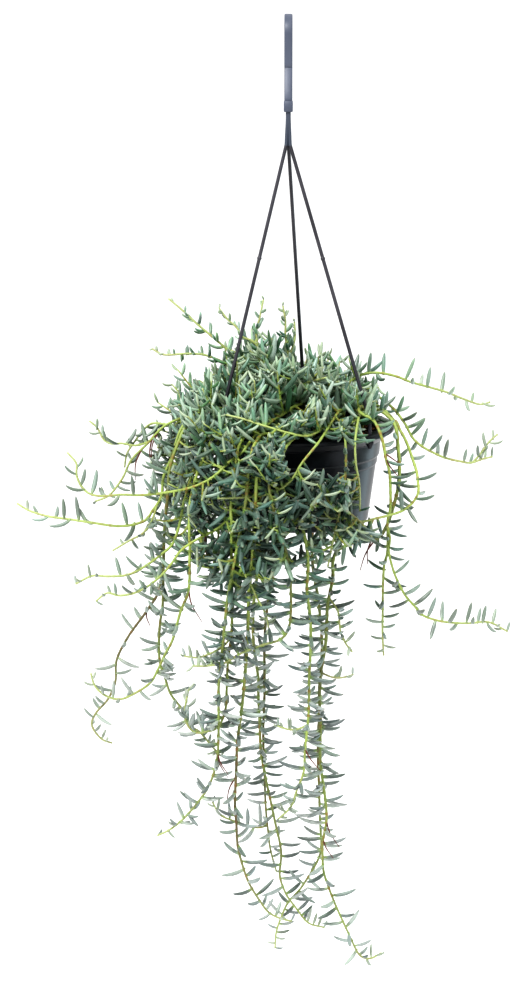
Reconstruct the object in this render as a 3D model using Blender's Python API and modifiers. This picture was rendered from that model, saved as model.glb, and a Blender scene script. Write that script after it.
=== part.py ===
"""Potted trailing senecio: a hanging pot on a three-strand hanger, with stems that trail over its rim.

Frame: the origin is the middle of the flat at the inner top of the hook, +Z is up, +X is to the right and
the front of the plant faces -Y. Lengths are written in millimetres and turned into metres as meshes are made.
The pot, the soil and the stems are written in the pot's own frame, whose origin is the middle of the rim.
"""

import math

import bmesh
import bpy
import numpy as np
from mathutils import Vector
from mathutils.kdtree import KDTree

MM = 0.001
GAP = 0.3                       # left between pieces that touch
NAME = "potted_trailing_senecio"

# Place of the pot: the plant is heavier on its left, so the pot hangs a little to the right of the hook
POT_SHIFT_X = 8.0
HOOK_TO_RIM = 313.0

# Pot
RIM_RADIUS = 75.0
RIM_LIP = 3.4                   # height of the rim's outer edge
RIM_ROUND = 0.9
RIM_DEPTH = 9.0                 # the underside of the rim meets the wall here
BAND_RADIUS = 64.6
BAND_DEPTH = 22.5
BAND_STEP = 1.0
LEDGE_DEPTH = 29.0              # a second, smaller step
LEDGE_RADIUS = 61.0
BAND_TAPER = 1.0                # narrowing of the inner wall from the rim to the band
BAND_LEDGE = 1.6                # and at the band's ledge
BAND_INSET = 1.4
BASE_RADIUS = 55.0
BASE_ROUND = 1.4
POT_HEIGHT = 75.0
WALL = 1.8
FOOT_WIDTH = 5.0
FOOT_HEIGHT = 1.6
POT_STEPS = 24
DRAIN_HOLES = 6
DRAIN_RADIUS = 3.5
DRAIN_CIRCLE = 34.0
DRAIN_CUT = (6.0, -2.0)         # a drain's cutter ends this far above and below the foot

# Soil
SOIL_CROWN = 6.0                # height of the soil's middle above the rim
SOIL_FALL = 12.2                # drop from the middle to the wall
SOIL_RINGS = (0.0, 0.4, 0.75, 1.0)
SOIL_STEPS = 24

# Hanger
STRIP_WIDTH = 6.2
STRIP_THICK = 3.6
HOOK_INNER_RADIUS = 11.0
HOOK_ARC_STEPS = 8              # an even number leaves one flat at the top
FREE_LEG_END = 36.0
SHANK_BEND_TOP = 28.0
SHANK_STEPS = 6
COLLAR_TOP = 62.0
COLLAR_SIZE = (7.0, 6.8, 8.4)
COLLAR_CHAMFER = 0.9
COLLAR_OVERLAP = 3.0            # the strip ends this far inside the collar
NECK_OVERLAP = 2.0              # the neck starts this far inside it
NECK_END = 95.0
NECK_TOP_RADIUS = 1.9
NECK_END_RADIUS = 3.3
STRAND_RADIUS = 1.4
STRAND_START = 1.85             # from the neck's axis to each strand's
STRAND_DROP = 0.85              # the slanted end of a strand starts this far below the neck
STRAND_CIRCLE = 69.0            # radius on which the strands pass through the rim
STRAND_RISE = 10.0              # the strand stands upright this far above the rim
STRAND_BEND = 7.0               # its straight part ends this far above that
STRAND_AZIMUTHS = {"back": 86.0, "left": 211.0, "right": -37.0}
EYE_RADIUS = 1.9
SEAT_RADIUS = 3.7
SEAT_DEPTH = 5.5
SEAT_CUT = 8.5
EYE_CUT_TOP = 4.0
FOOT_RADIUS = 3.1
FOOT_TIP_RADIUS = 1.5
FOOT_LENGTH = 5.0

# Stems
ROOT_DEPTH = 9.0
ROOT_RISE = 3.0
HOLE_RADIUS = 2.6
HOLE_SIDES = 4
HOLE_TOP = 6.0                  # a root hole's cutter ends this far above the soil
STEM_STEP = 4.0                 # spacing of the points along a stem
UPRIGHT_STEPS = 3               # these first steps of a stem stand upright in its hole and stay put
STEM_BASE_RADIUS = 1.4
STEM_TIP_RADIUS = 0.6
SHOOT_SHARE = 0.8               # a side shoot is this much of its stem's extra thickness
STEM_SIDES = 3
STEM_TAPER_LENGTH = 420.0       # a stem this long has the full base radius
STEM_TAPER_POWER = 0.6
STEM_TAPER_LEAST = 0.15         # and a short one at least this share of it
STEM_CLEARANCE = 5.8            # between the points of two stems
POT_CLEARANCE = 3.0             # between a stem's axis and the pot
RIM_ZONE = 10.4                 # the rim and its underside reach this far down
STEM_TOLERANCE = 1.3            # how far a tube's straight runs may leave the stem's curve
SPREAD_ROUNDS = 80
SPREAD_SMOOTHING = 3            # each round's moves are smoothed so often along a stem
JOINT_FADE = 8                  # points over which a side shoot follows its parent

# Leaves
LEAF_SPACING = 6.25
TIP_SPACING = 4.5
TIP_ZONE = 30.0
LEAF_CYCLE = 4                  # of this many places for leaves along a stem, the solids use one
LEAF_LENGTH = 16.8
LEAF_RADIUS = 1.65
LEAF_WIDEST = 0.38              # share of the length at which a leaf is widest
LEAF_SIDES = 3
LEAF_GAP = 0.45
LEAF_SINK = 0.7                 # a leaf's root lies this share of the stem's radius behind its axis
LEAF_OUTER_SHARE = 0.8          # thickness of its outer part, as tested against others
STEM_BARE = 4.0                 # no leaf this near above a stem's upright part
SHOOT_BARE = 6.0                # or where a side shoot starts
SELF_GAP = 0.1                  # between the leaves of one stem
LEAF_TRIES = 9
TURN = math.radians(137.5)
OWNER_TURN = 1.7
TRY_TURN = 0.7
LEAF_FORWARD = 0.12             # lean of a leaf towards its stem's tip
RISING_FORWARD = 0.6            # more lean on a shoot that rises
LEAF_DROOP = -0.04              # a leaf leaves a hanging stem a little below level
LEAF_LIFT = 0.8                 # and stands up on a level stem
LEAF_CURL = 0.46                # its outer part curves up
CROWN_STRAIGHTER = 0.6          # but less in dense foliage
LEAF_WANDER = 0.7               # how far its direction strays
YOUNG_ZONE = 42.0               # leaves are smaller this near the tip
YOUNG_SIZE = 0.38
SIZE_SPREAD = 0.30
CROWN_BULK = 1.48               # leaves in dense foliage are this much longer
LEAF_PLUMPER = 0.6              # of what a leaf is longer, it is this share thicker
SMALL_LEAVES = {"stem_top_left_front": 0.6, "stem_top_left_back": 0.5, "stem_top_middle": 0.6,
                "stem_top_upright": 0.6}
# Dense foliage: middle and radii
MASSES = [((-15, 0, 0), (75, 95, 75)), ((-40, 0, -48), (72, 140, 92)), ((14, -85, -50), (50, 60, 42)),
          ((-38, -92, -70), (42, 60, 58))]
MASS_EDGE = 1.6
SPACING_SPREAD = 0.4

# The plant's front is seen from EYE: leaves keep off the front of these stems, between two shares of their
# length, and off the bare parts of the pot's wall
EYE = (0.0, -2356.0, 458.0)
FRONT_STEMS = {"left_upper_long": (0.1, 1.0), "left_middle": (0.45, 0.9), "left_lower_long": (0.35, 1.0),
               "left_cross": (0.36, 0.8), "left_low_shoot": (0.4, 0.9), "left_hang_front": (0.15, 0.6),
               "front_cross": (0.15, 1.0), "front_level": (0.2, 1.0), "curtain_left": (0.15, 0.5),
               "curtain_middle": (0.16, 0.35), "curtain_right": (0.2, 0.45), "right_front_short": (0.2, 1.0),
               "right_hang": (0.12, 0.6), "right_loop": (0.3, 1.0), "right_out": (0.4, 1.0)}
FRONT_MARGIN = 2.4              # left between a leaf and such a stem, as seen from EYE
FRONT_DEPTH = 1.0
FRONT_STEP = 1.5
STRAND_SHOWN = 0.86             # share of a strand's length above its knee that shows
WALL_FRONT = -62.0              # the wall's nearest part
BARE_WALLS = [((-7, -22), (34, -2)), ((45, -50), (62, -6))]   # (right, up) of the lower and upper corners

# Crown of short shoots round the middle of the pot
CROWN_PLANTS = 11
CROWN_PLACES = 33               # places in the sunflower pattern, taken in strides
CROWN_STRIDE = 5
CROWN_RADIUS = 50.0
CROWN_SPACING = 7.0
CROWN_FORK = 10.0
CROWN_FAN = 52.0
CROWN_FRONT = -20.0             # no root of the crown lies nearer to the front
CROWN_LENGTH = 58.0
CROWN_LENGTH_SPREAD = 8.0
CROWN_SIDE_SHORTER = 7.0
CROWN_RIGHT_SHORTER = 0.64      # the crown is lower on the right, from a little left of the middle on
CROWN_SLOPE_START = -20.0
CROWN_SLOPE_LENGTH = 40.0
CROWN_LEFT_LEAN = 18.0          # and leans out more on the left
CROWN_LEAN = 8.0                # lean in the middle of the crown, in degrees
CROWN_LEAN_OUT = 50.0           # more lean at its edge
CROWN_LEAN_SIDE = 14.0          # and of the outer two of three shoots
CROWN_STRAY_LEAN = 6.0          # how far a shoot strays from its lean and its azimuth
CROWN_STRAY_TURN = 12.0
CROWN_BEND_UP = 0.34            # a shoot first rises by this share of its length
CROWN_BEND_OUT = 0.2            # and goes its own way by this share
CROWN_ARCH = 2.0                # its middle is this far out

# Each long stem has the place of its root on the soil, its route and any side shoots.
# Points are (right, back, up) from the middle of the rim.
STEMS = {
    "left_upper_long": [(6, -6), [
        (2, -16, 20), (-8, -35, 17), (-19, -50, 11), (-27, -62, 7), (-35, -74, 2), (-42, -82, -5),
        (-53, -88, -14), (-65, -90, -24), (-81, -88, -32), (-96, -84, -36), (-118, -78, -40),
        (-134, -72, -41), (-150, -68, -43), (-159, -64, -42), (-165, -62, -37), (-169, -60, -28),
        (-169, -58, -20), (-176, -55, -12)]],
    "left_lower_long": [(-30, -10), [
        (-64, -30, 18), (-83, -38, 12), (-90, -42, 3), (-94, -44, -8), (-97, -46, -18), (-103, -48, -32),
        (-105, -50, -48), (-112, -50, -59), (-116, -50, -65), (-125, -50, -69), (-138, -48, -71),
        (-159, -45, -69), (-177, -42, -67), (-194, -40, -65), (-208, -38, -61), (-217, -36, -56)],
        [(-108, -50, -55), (-113, -54, -68), (-119, -56, -75), (-129, -58, -80), (-142, -58, -88)]],
    "left_middle": [(-40, 6), [
        (-57, -4, 20), (-72, -8, 12), (-90, -12, 7), (-102, -14, 2), (-109, -14, -4), (-117, -14, -13),
        (-130, -12, -27), (-136, -10, -40), (-142, -10, -49), (-148, -8, -56), (-159, -6, -61)],
        [(-117, -14, -13), (-127, -10, -16), (-138, -4, -15), (-146, 0, -16), (-152, 2, -13),
         (-157, 4, -4), (-163, 5, 1)],
        [(-103, -14, 2), (-114, -4, 1), (-119, 0, -3), (-127, 4, -14), (-134, 6, -25), (-136, 6, -36)]],
    "left_cross": [(-12, -34), [
        (-23, -72, 4), (-27, -84, -5), (-35, -90, -26), (-40, -92, -41), (-47, -92, -49), (-57, -92, -60),
        (-70, -92, -68), (-78, -92, -72), (-89, -90, -81), (-95, -88, -90), (-105, -86, -102),
        (-116, -84, -111), (-126, -82, -116), (-137, -80, -118), (-145, -80, -116), (-154, -78, -123)],
        [(-74, -92, -70), (-69, -94, -77), (-55, -98, -86), (-43, -100, -91), (-37, -100, -101),
         (-31, -100, -114), (-24, -98, -128), (-22, -96, -139)]],
    "left_low_shoot": [(-34, -28), [
        (-63, -62, 6), (-72, -72, -2), (-79, -76, -21), (-86, -76, -44), (-91, -78, -67), (-96, -78, -79),
        (-105, -78, -87), (-115, -76, -95), (-129, -74, -103), (-146, -72, -105), (-157, -70, -105),
        (-170, -68, -112)]],
    "left_hang_middle": [(-44, -14), [
        (-83, -46, 9), (-92, -54, -6), (-98, -58, -25), (-99, -60, -40), (-102, -62, -71),
        (-103, -62, -102), (-104, -60, -132), (-106, -60, -145), (-107, -60, -166), (-106, -60, -178),
        (-103, -60, -187), (-98, -60, -202), (-89, -62, -214), (-85, -64, -225), (-76, -66, -230),
        (-68, -68, -239), (-60, -70, -248)]],
    "left_hang_back": [(-46, 18), [
        (-93, 24, -2), (-99, 20, -17), (-102, 12, -47), (-105, 4, -86), (-106, 0, -117), (-110, -5, -135),
        (-119, -8, -149), (-134, -10, -170), (-143, -10, -189), (-144, -10, -206), (-150, -12, -220),
        (-160, -12, -232), (-163, -12, -241), (-155, -12, -253), (-147, -12, -256)]],
    "left_hang_front": [(-26, -40), [
        (-58, -66, 8), (-66, -78, 1), (-75, -84, -19), (-81, -86, -40), (-82, -88, -65), (-82, -88, -88),
        (-83, -86, -113), (-89, -84, -129), (-96, -80, -154), (-102, -78, -166), (-107, -78, -177),
        (-113, -76, -188), (-124, -76, -196), (-137, -74, -202), (-148, -74, -199), (-156, -72, -192),
        (-159, -72, -182)]],
    "front_cross": [(36, -14), [
        (33, -36, 18), (25, -62, 13), (16, -84, 3), (3, -92, -12), (-4, -94, -23), (-16, -94, -33),
        (-28, -94, -37), (-42, -94, -38), (-60, -94, -39)]],
    "front_level": [(22, -43), [
        (20, -60, 10), (14, -75, 8), (6, -83, 7), (-8, -85, 10), (-25, -85, 15), (-42, -82, 20),
        (-54, -78, 22)]],
    "front_right_hang": [(33, -42), [
        (34, -62, 15), (35, -76, 9), (36, -84, -2), (36, -86, -20), (34, -87, -40), (30, -88, -58),
        (26, -90, -76), (23, -90, -92)],
        [(35, -86, -26), (28, -91, -31), (18, -95, -38), (8, -97, -49), (1, -98, -60)],
        [(33, -87, -44), (40, -91, -50), (49, -90, -59), (56, -86, -70)]],
    "right_front_short": [(44, -28), [
        (46, -58, 16), (44, -74, 9), (43, -82, -1), (44, -84, -16), (46, -82, -27), (47, -80, -41),
        (47, -78, -52)]],
    "right_hang": [(50, -6), [
        (49, -34, 19), (57, -46, 13), (62, -54, 5), (65, -56, -4), (67, -56, -15), (70, -54, -27),
        (71, -52, -43), (71, -50, -57), (69, -50, -66), (69, -50, -75), (69, -48, -92), (67, -48, -100),
        (66, -46, -118), (66, -46, -137), (66, -46, -156), (67, -46, -174)],
        [(69, -50, -72), (71, -52, -81), (70, -53, -88), (73, -53, -102), (78, -52, -115), (84, -50, -126),
         (91, -50, -134), (96, -50, -140), (107, -48, -145), (119, -48, -147), (133, -46, -148),
         (148, -46, -147), (163, -44, -155)]],
    "right_hang_back": [(48, 10), [
        (60, -14, 15), (74, -26, 6), (77, -34, -11), (78, -38, -36), (74, -42, -55), (66, -46, -76),
        (59, -52, -80), (49, -58, -79), (39, -62, -82), (30, -66, -86), (27, -68, -93), (27, -70, -105),
        (25, -70, -117), (23, -70, -128), (22, -70, -155), (20, -70, -169), (18, -70, -182),
        (17, -70, -198), (18, -70, -219), (18, -70, -252), (22, -70, -284), (23, -70, -300),
        (20, -68, -320), (20, -68, -329), (21, -66, -344), (25, -66, -357), (30, -64, -371),
        (36, -64, -385), (42, -62, -399), (48, -62, -412), (52, -60, -417), (58, -60, -418),
        (67, -58, -414)],
        [(24, -70, -122), (31, -74, -132), (33, -76, -147), (38, -76, -158), (42, -76, -163)],
        [(19, -70, -181), (29, -74, -184), (37, -76, -183), (43, -76, -181)]],
    "right_loop": [(52, 20), [
        (60, 6, 14), (73, -4, 6), (80, -10, -4), (84, -14, -11), (89, -20, -24), (92, -26, -33),
        (93, -32, -42), (93, -36, -46), (89, -44, -52), (80, -54, -57), (69, -62, -59), (59, -68, -60),
        (49, -74, -61), (34, -80, -57), (24, -84, -56), (20, -84, -51)]],
    "right_out": [(44, 32), [
        (57, 24, 19), (72, 16, 12), (83, 8, 0), (90, 4, -12), (97, 2, -18), (106, 2, -23), (115, 2, -27),
        (128, 2, -30), (135, 2, -31), (144, 2, -28), (152, 2, -26)],
        [(135, 2, -31), (142, 4, -24), (149, 5, -15), (156, 6, -9)]],
    "right_top": [(36, 24), [
        (38, 20, 25), (48, 14, 36), (61, 10, 39), (77, 10, 36), (87, 10, 32), (101, 10, 28), (115, 10, 24),
        (130, 10, 18), (143, 10, 14), (150, 10, 16)]],
    "top_left_front": [(-22, 10), [
        (-45, 8, 43), (-53, 8, 55), (-68, 10, 68), (-80, 12, 78), (-91, 14, 88), (-101, 16, 96)]],
    "top_left_back": [(-34, 16), [
        (-44, 18, 33), (-56, 18, 44), (-73, 20, 51), (-88, 20, 52), (-106, 22, 51), (-114, 24, 55)]],
    "top_middle": [(-8, 4), [
        (-27, 2, 49), (-34, 2, 64), (-44, 2, 69), (-47, 2, 75), (-55, 4, 82), (-61, 4, 90)],
        [(-32, 2, 60), (-33, 4, 73), (-30, 5, 83), (-27, 6, 97)]],
    "top_upright": [(4, 14), [(-8, 13, 55), (-10, 13, 67), (-10, 13, 79), (-12, 13, 91)],
        [(-8, 13, 52), (-3, 15, 65), (-3, 16, 78)]],
    "curtain_left": [(-20, -32), [
        (-39, -72, 6), (-45, -84, -3), (-49, -90, -25), (-50, -93, -48), (-50, -94, -71), (-50, -94, -95),
        (-50, -92, -118), (-50, -92, -143), (-53, -92, -167), (-54, -92, -189), (-55, -92, -205),
        (-61, -92, -219), (-68, -92, -222), (-78, -92, -223), (-84, -92, -217), (-86, -92, -206),
        (-83, -92, -189)],
        [(-50, -92, -148), (-57, -94, -155), (-64, -94, -159), (-76, -94, -163), (-86, -94, -162)]],
    "curtain_left_long": [(-14, -44), [
        (-32, -84, 2), (-37, -94, -17), (-40, -100, -46), (-46, -102, -77), (-53, -102, -116),
        (-57, -100, -155), (-60, -98, -187), (-60, -98, -211), (-61, -96, -240), (-64, -94, -255),
        (-69, -92, -268), (-76, -90, -279), (-88, -88, -294), (-99, -88, -303), (-108, -86, -308)]],
    "curtain_middle": [(-4, -48), [
        (-24, -88, 0), (-30, -96, -17), (-32, -98, -47), (-34, -98, -78), (-37, -96, -117),
        (-38, -94, -149), (-41, -90, -190), (-43, -88, -209), (-46, -86, -233), (-47, -84, -257),
        (-48, -82, -285), (-47, -82, -299), (-46, -80, -318), (-42, -80, -335), (-37, -78, -350),
        (-30, -78, -362), (-22, -76, -374), (-13, -76, -379), (-4, -74, -382)]],
    "curtain_right": [(12, -46), [
        (-8, -86, 1), (-14, -92, -17), (-9, -94, -40), (4, -93, -64), (8, -92, -90), (7, -92, -110),
        (9, -90, -126), (10, -90, -138), (10, -88, -158), (9, -88, -182), (9, -88, -200), (8, -86, -219),
        (6, -86, -239), (5, -84, -257), (0, -84, -271), (-5, -82, -286), (-15, -82, -296)],
        [(8, -86, -219), (1, -87, -222), (-6, -88, -222), (-15, -88, -219)]],
    "curtain_shoot": [(2, -34), [
        (-17, -84, 2), (-22, -95, -16), (-18, -99, -48), (-8, -100, -82), (-5, -101, -112), (-7, -101, -139),
        (-13, -100, -147), (-22, -100, -150), (-36, -100, -155), (-45, -100, -159), (-56, -100, -165),
        (-70, -100, -168), (-79, -100, -168)]],
    "back_hang_left": [(-12, 40), [
        (-14, 66, 16), (-18, 84, 4), (-20, 90, -20), (-24, 88, -88), (-31, 86, -130), (-36, 84, -168),
        (-36, 82, -198), (-32, 80, -230), (-32, 80, -244), (-31, 78, -263), (-30, 76, -288),
        (-26, 74, -312), (-22, 72, -330), (-18, 70, -349), (-13, 68, -374), (-14, 66, -395),
        (-8, 64, -410), (1, 62, -423), (10, 60, -433), (23, 58, -436)]],
    "back_hang_middle": [(2, 46), [
        (2, 66, 14), (2, 86, 2), (0, 92, -22), (-8, 92, -89), (-18, 90, -131), (-25, 88, -172),
        (-27, 86, -199), (-27, 84, -242), (-28, 82, -277), (-27, 80, -307), (-26, 78, -337),
        (-24, 76, -358), (-22, 75, -374), (-17, 74, -393)],
        [(-24, 76, -354), (-32, 77, -356), (-45, 78, -354), (-51, 78, -351), (-64, 78, -345),
         (-70, 78, -334)]],
    "back_hang_right": [(18, 40), [
        (20, 64, 12), (22, 84, 0), (20, 90, -24), (13, 90, -89), (12, 86, -130), (17, 84, -163),
        (20, 82, -196), (19, 80, -230), (18, 78, -258), (17, 76, -287), (18, 74, -316), (19, 72, -346),
        (20, 70, -372), (18, 70, -380), (12, 68, -391), (3, 66, -405), (-6, 64, -415), (-13, 62, -429),
        (-17, 62, -442), (-18, 60, -455)]],
}

# Shorter stems that hang behind the pot: azimuth of each and how far it drops below the rim
BACK_STEMS = [(52, 60), (68, 46), (112, 96), (130, 120), (146, 88), (163, 104), (178, 70)]
BACK_ROOT_RADIUS = 47.0
BACK_ARCH = [(58, 17), (74, 14), (84, 2), (88, -18)]        # radius and height over the rim
BACK_FALL = [(90, 0.6), (87, 0.85), (94, 1.0)]              # radius and share of the drop


def soil_height(radius):
    """Height of the soil's surface at a distance from the pot's axis."""
    return SOIL_CROWN - SOIL_FALL * (radius / inner_radius(0.0)) ** 2


def inner_radius(depth):
    """Inner radius of the pot at a depth below the rim."""
    top = BAND_RADIUS - WALL
    if depth <= BAND_DEPTH:
        return top - BAND_TAPER * depth / BAND_DEPTH
    share = (depth - BAND_DEPTH) / (POT_HEIGHT - BAND_DEPTH)
    return top - BAND_TAPER - BAND_LEDGE + (BASE_RADIUS - BAND_RADIUS + BAND_INSET) * share


def pot_profile(hub=0.0, lip_inset=0.0):
    """From the inside of the base, up the inner wall, over the rim and down the outer wall."""
    floor = -POT_HEIGHT + FOOT_HEIGHT
    inner = [(hub, floor + WALL), (inner_radius(POT_HEIGHT - WALL) - 1.0, floor + WALL)]
    inner += [(inner_radius(BAND_DEPTH + BAND_STEP), -BAND_DEPTH - BAND_STEP)]
    inner += [(inner_radius(BAND_DEPTH), -BAND_DEPTH + BAND_STEP)]
    inner += [(inner_radius(0.0), -2.0), (inner_radius(0.0) + 2.0, 0.0)]
    rim = [(RIM_RADIUS - RIM_ROUND, 0.0), (RIM_RADIUS, -RIM_ROUND), (RIM_RADIUS, -RIM_LIP)]
    if lip_inset:
        rim.append((RIM_RADIUS - lip_inset, -RIM_LIP))
    band = [(BAND_RADIUS + 2.6, -RIM_DEPTH), (BAND_RADIUS, -RIM_DEPTH - 1.0)]
    band += [(BAND_RADIUS - 1.0, -BAND_DEPTH + 0.5), (BAND_RADIUS - 2.4, -BAND_DEPTH - BAND_STEP)]
    band += [(BAND_RADIUS - 2.8, -LEDGE_DEPTH + 0.4), (LEDGE_RADIUS, -LEDGE_DEPTH - 0.6)]
    base = [(BASE_RADIUS, -POT_HEIGHT + BASE_ROUND), (BASE_RADIUS - BASE_ROUND, -POT_HEIGHT)]
    base += [(BASE_RADIUS - FOOT_WIDTH, -POT_HEIGHT), (BASE_RADIUS - FOOT_WIDTH - 1.0, floor), (hub, floor)]
    return inner + rim + band + base


# Geometry of lines

def smooth_route(points, step):
    """Points a step apart along the smooth curve through hand-chosen points."""
    points = [np.array(p, float) for p in points]
    points = [2 * points[0] - points[1]] + points + [2 * points[-1] - points[-2]]
    fine = []
    for a, b, c, d in zip(points, points[1:], points[2:], points[3:]):
        knots = [0.0]
        for p, q in ((a, b), (b, c), (c, d)):
            knots.append(knots[-1] + math.sqrt(np.linalg.norm(q - p)))
        t0, t1, t2, t3 = knots
        for t in np.linspace(t1, t2, 12, endpoint=False):
            ab = a + (b - a) * (t - t0) / (t1 - t0)
            bc = b + (c - b) * (t - t1) / (t2 - t1)
            cd = c + (d - c) * (t - t2) / (t3 - t2)
            abc = ab + (bc - ab) * (t - t0) / (t2 - t0)
            bcd = bc + (cd - bc) * (t - t1) / (t3 - t1)
            fine.append(abc + (bcd - abc) * (t - t1) / (t2 - t1))
    fine.append(points[-2])
    return resample(np.array(fine), step)


def resample(points, step):
    """Even spacing along a line of points, both ends kept."""
    lengths = np.concatenate([[0.0], np.cumsum(np.linalg.norm(np.diff(points, axis=0), axis=1))])
    count = max(2, round(lengths[-1] / step) + 1)
    wanted = np.linspace(0.0, lengths[-1], count)
    return np.stack([np.interp(wanted, lengths, points[:, k]) for k in range(3)], axis=1)


def simplify(points, tolerance, corners):
    """Indices of the points that keep a line within the tolerance of its curve, its corners among them."""
    keep = set(corners)
    stack = list(zip(corners, corners[1:]))
    while stack:
        first, last = stack.pop()
        if last - first < 2:
            continue
        chord = points[last] - points[first]
        chord = chord / np.linalg.norm(chord)
        offsets = points[first + 1:last] - points[first]
        away = np.linalg.norm(offsets - np.outer(offsets @ chord, chord), axis=1)
        worst = int(np.argmax(away))
        if away[worst] > tolerance:
            middle = first + 1 + worst
            keep.add(middle)
            stack += [(first, middle), (middle, last)]
    return sorted(keep)


def segment_gaps(p, q, starts, ends):
    """Shortest distance between the segment p-q and each of many segments."""
    along = q - p
    others = ends - starts
    apart = p - starts
    a = along @ along
    e = np.einsum("ij,ij->i", others, others)
    b = others @ along
    c = apart @ along
    f = np.einsum("ij,ij->i", others, apart)
    steep = np.maximum(a * e - b * b, 1e-9)
    s = np.clip((b * f - c * e) / steep, 0.0, 1.0)
    t = np.clip((b * s + f) / e, 0.0, 1.0)
    s = np.clip((b * t - c) / a, 0.0, 1.0)
    nearest = apart + s[:, None] * along - t[:, None] * others
    return np.linalg.norm(nearest, axis=1)


# Plan of the stems

def strand_line(azimuth):
    """Axis of one strand, in the pot's frame."""
    angle = math.radians(azimuth)
    way = np.array([math.cos(angle), math.sin(angle), 0.0])
    top = way * STRAND_START + np.array([-POT_SHIFT_X, 0.0, HOOK_TO_RIM - NECK_END - STRAND_DROP])
    knee = way * STRAND_CIRCLE + np.array([0.0, 0.0, STRAND_RISE])
    return [top, knee, way * STRAND_CIRCLE - np.array([0.0, 0.0, SEAT_DEPTH + GAP])]


def planted(root, route):
    """A route that stands upright in the soil and then follows its points."""
    x, y = root
    ground = soil_height(math.hypot(x, y))
    return [(x, y, ground + rise) for rise in (-ROOT_DEPTH, -1.0, ROOT_RISE)] + route


def back_route(azimuth, drop):
    """A stem that leaves the soil, arches over the rim and hangs behind the pot."""
    angle = math.radians(azimuth)
    x, y = math.cos(angle), math.sin(angle)
    root = (BACK_ROOT_RADIUS * x, BACK_ROOT_RADIUS * y)
    profile = BACK_ARCH + [(radius, -drop * share) for radius, share in BACK_FALL]
    return root, [(radius * x, radius * y, height) for radius, height in profile]


def crown_roots(taken):
    """Places for the crown's roots, in a sunflower pattern clear of the others."""
    found = []
    k = 0
    while len(found) < CROWN_PLANTS:
        radius = CROWN_RADIUS * math.sqrt((k % CROWN_PLACES + 0.5) / CROWN_PLACES)
        angle = k * TURN
        place = (radius * math.cos(angle), radius * math.sin(angle))
        apart = all(math.dist(place, other) > CROWN_SPACING for other in taken + found)
        if apart and place[1] > CROWN_FRONT:
            found.append(place)
        k += CROWN_STRIDE
    return found


def crown_shoots(root, number):
    """Three short shoots that fork from one root and lean out of the crown."""
    radius = math.hypot(*root)
    outward = math.atan2(root[1], root[0])
    ground = soil_height(radius)
    fork = np.array([root[0], root[1], ground + CROWN_FORK])
    shoots = []
    for k in (0, -1, 1):
        wobble = 2.0 * wave(number, k) - 1.0
        lean = CROWN_LEAN + CROWN_LEAN_OUT * radius / CROWN_RADIUS + CROWN_LEAN_SIDE * abs(k)
        lean += CROWN_STRAY_LEAN * wobble + CROWN_LEFT_LEAN * max(-root[0], 0.0) / CROWN_RADIUS
        lean = math.radians(lean)
        azimuth = outward + math.radians(CROWN_FAN * k + CROWN_STRAY_TURN * wobble)
        length = CROWN_LENGTH + CROWN_LENGTH_SPREAD * wobble - CROWN_SIDE_SHORTER * abs(k)
        slope = (root[0] - CROWN_SLOPE_START) / CROWN_SLOPE_LENGTH
        length *= 1.0 - CROWN_RIGHT_SHORTER * min(max(slope, 0.0), 1.0)
        aside = math.sin(lean)
        way = np.array([math.cos(azimuth) * aside, math.sin(azimuth) * aside, math.cos(lean)])
        end = fork + way * length
        bend = fork + np.array([0.0, 0.0, CROWN_BEND_UP * length]) + way * CROWN_BEND_OUT * length
        middle = 0.5 * (bend + end) + way * CROWN_ARCH
        shoots.append([tuple(fork), tuple(bend), tuple(middle), tuple(end)])
    return shoots


def plan_stems():
    """All stems by name: a list of lines, the first from the soil and the rest as its side shoots."""
    plan = {}
    roots = []
    for name, (root, route, *shoots) in STEMS.items():
        roots.append(root)
        plan["stem_" + name] = [planted(root, route)] + shoots
    for number, (azimuth, drop) in enumerate(BACK_STEMS, 1):
        root, route = back_route(azimuth, drop)
        roots.append(root)
        plan[f"stem_back_short_{number}"] = [planted(root, route)]
    for number, root in enumerate(crown_roots(roots), 1):
        roots.append(root)
        first, *others = crown_shoots(root, number)
        plan[f"stem_crown_{number:02d}"] = [planted(root, first)] + others
    stems = {name: [smooth_route(line, STEM_STEP) for line in lines] for name, lines in plan.items()}
    spread_apart(stems)
    return stems, roots


def clear_of_pot(point, margin):
    """The point, moved out of the pot, the rim and the soil."""
    radius = max(math.hypot(point[0], point[1]), 1e-6)
    out = np.array([point[0], point[1], 0.0]) / radius
    inside = inner_radius(0.0)
    if radius < inside - margin:
        point[2] = max(point[2], soil_height(radius) + margin)
    elif radius < RIM_RADIUS + margin and point[2] > -RIM_ZONE:
        point[2] = max(point[2], margin)
    elif point[2] > -RIM_ZONE - margin:
        point[:] = out * max(radius, RIM_RADIUS + margin) + np.array([0.0, 0.0, point[2]])
    elif point[2] > -POT_HEIGHT - margin:
        point[:] = out * max(radius, BAND_RADIUS + POT_CLEARANCE + margin) + np.array([0.0, 0.0, point[2]])
    return point


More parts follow.
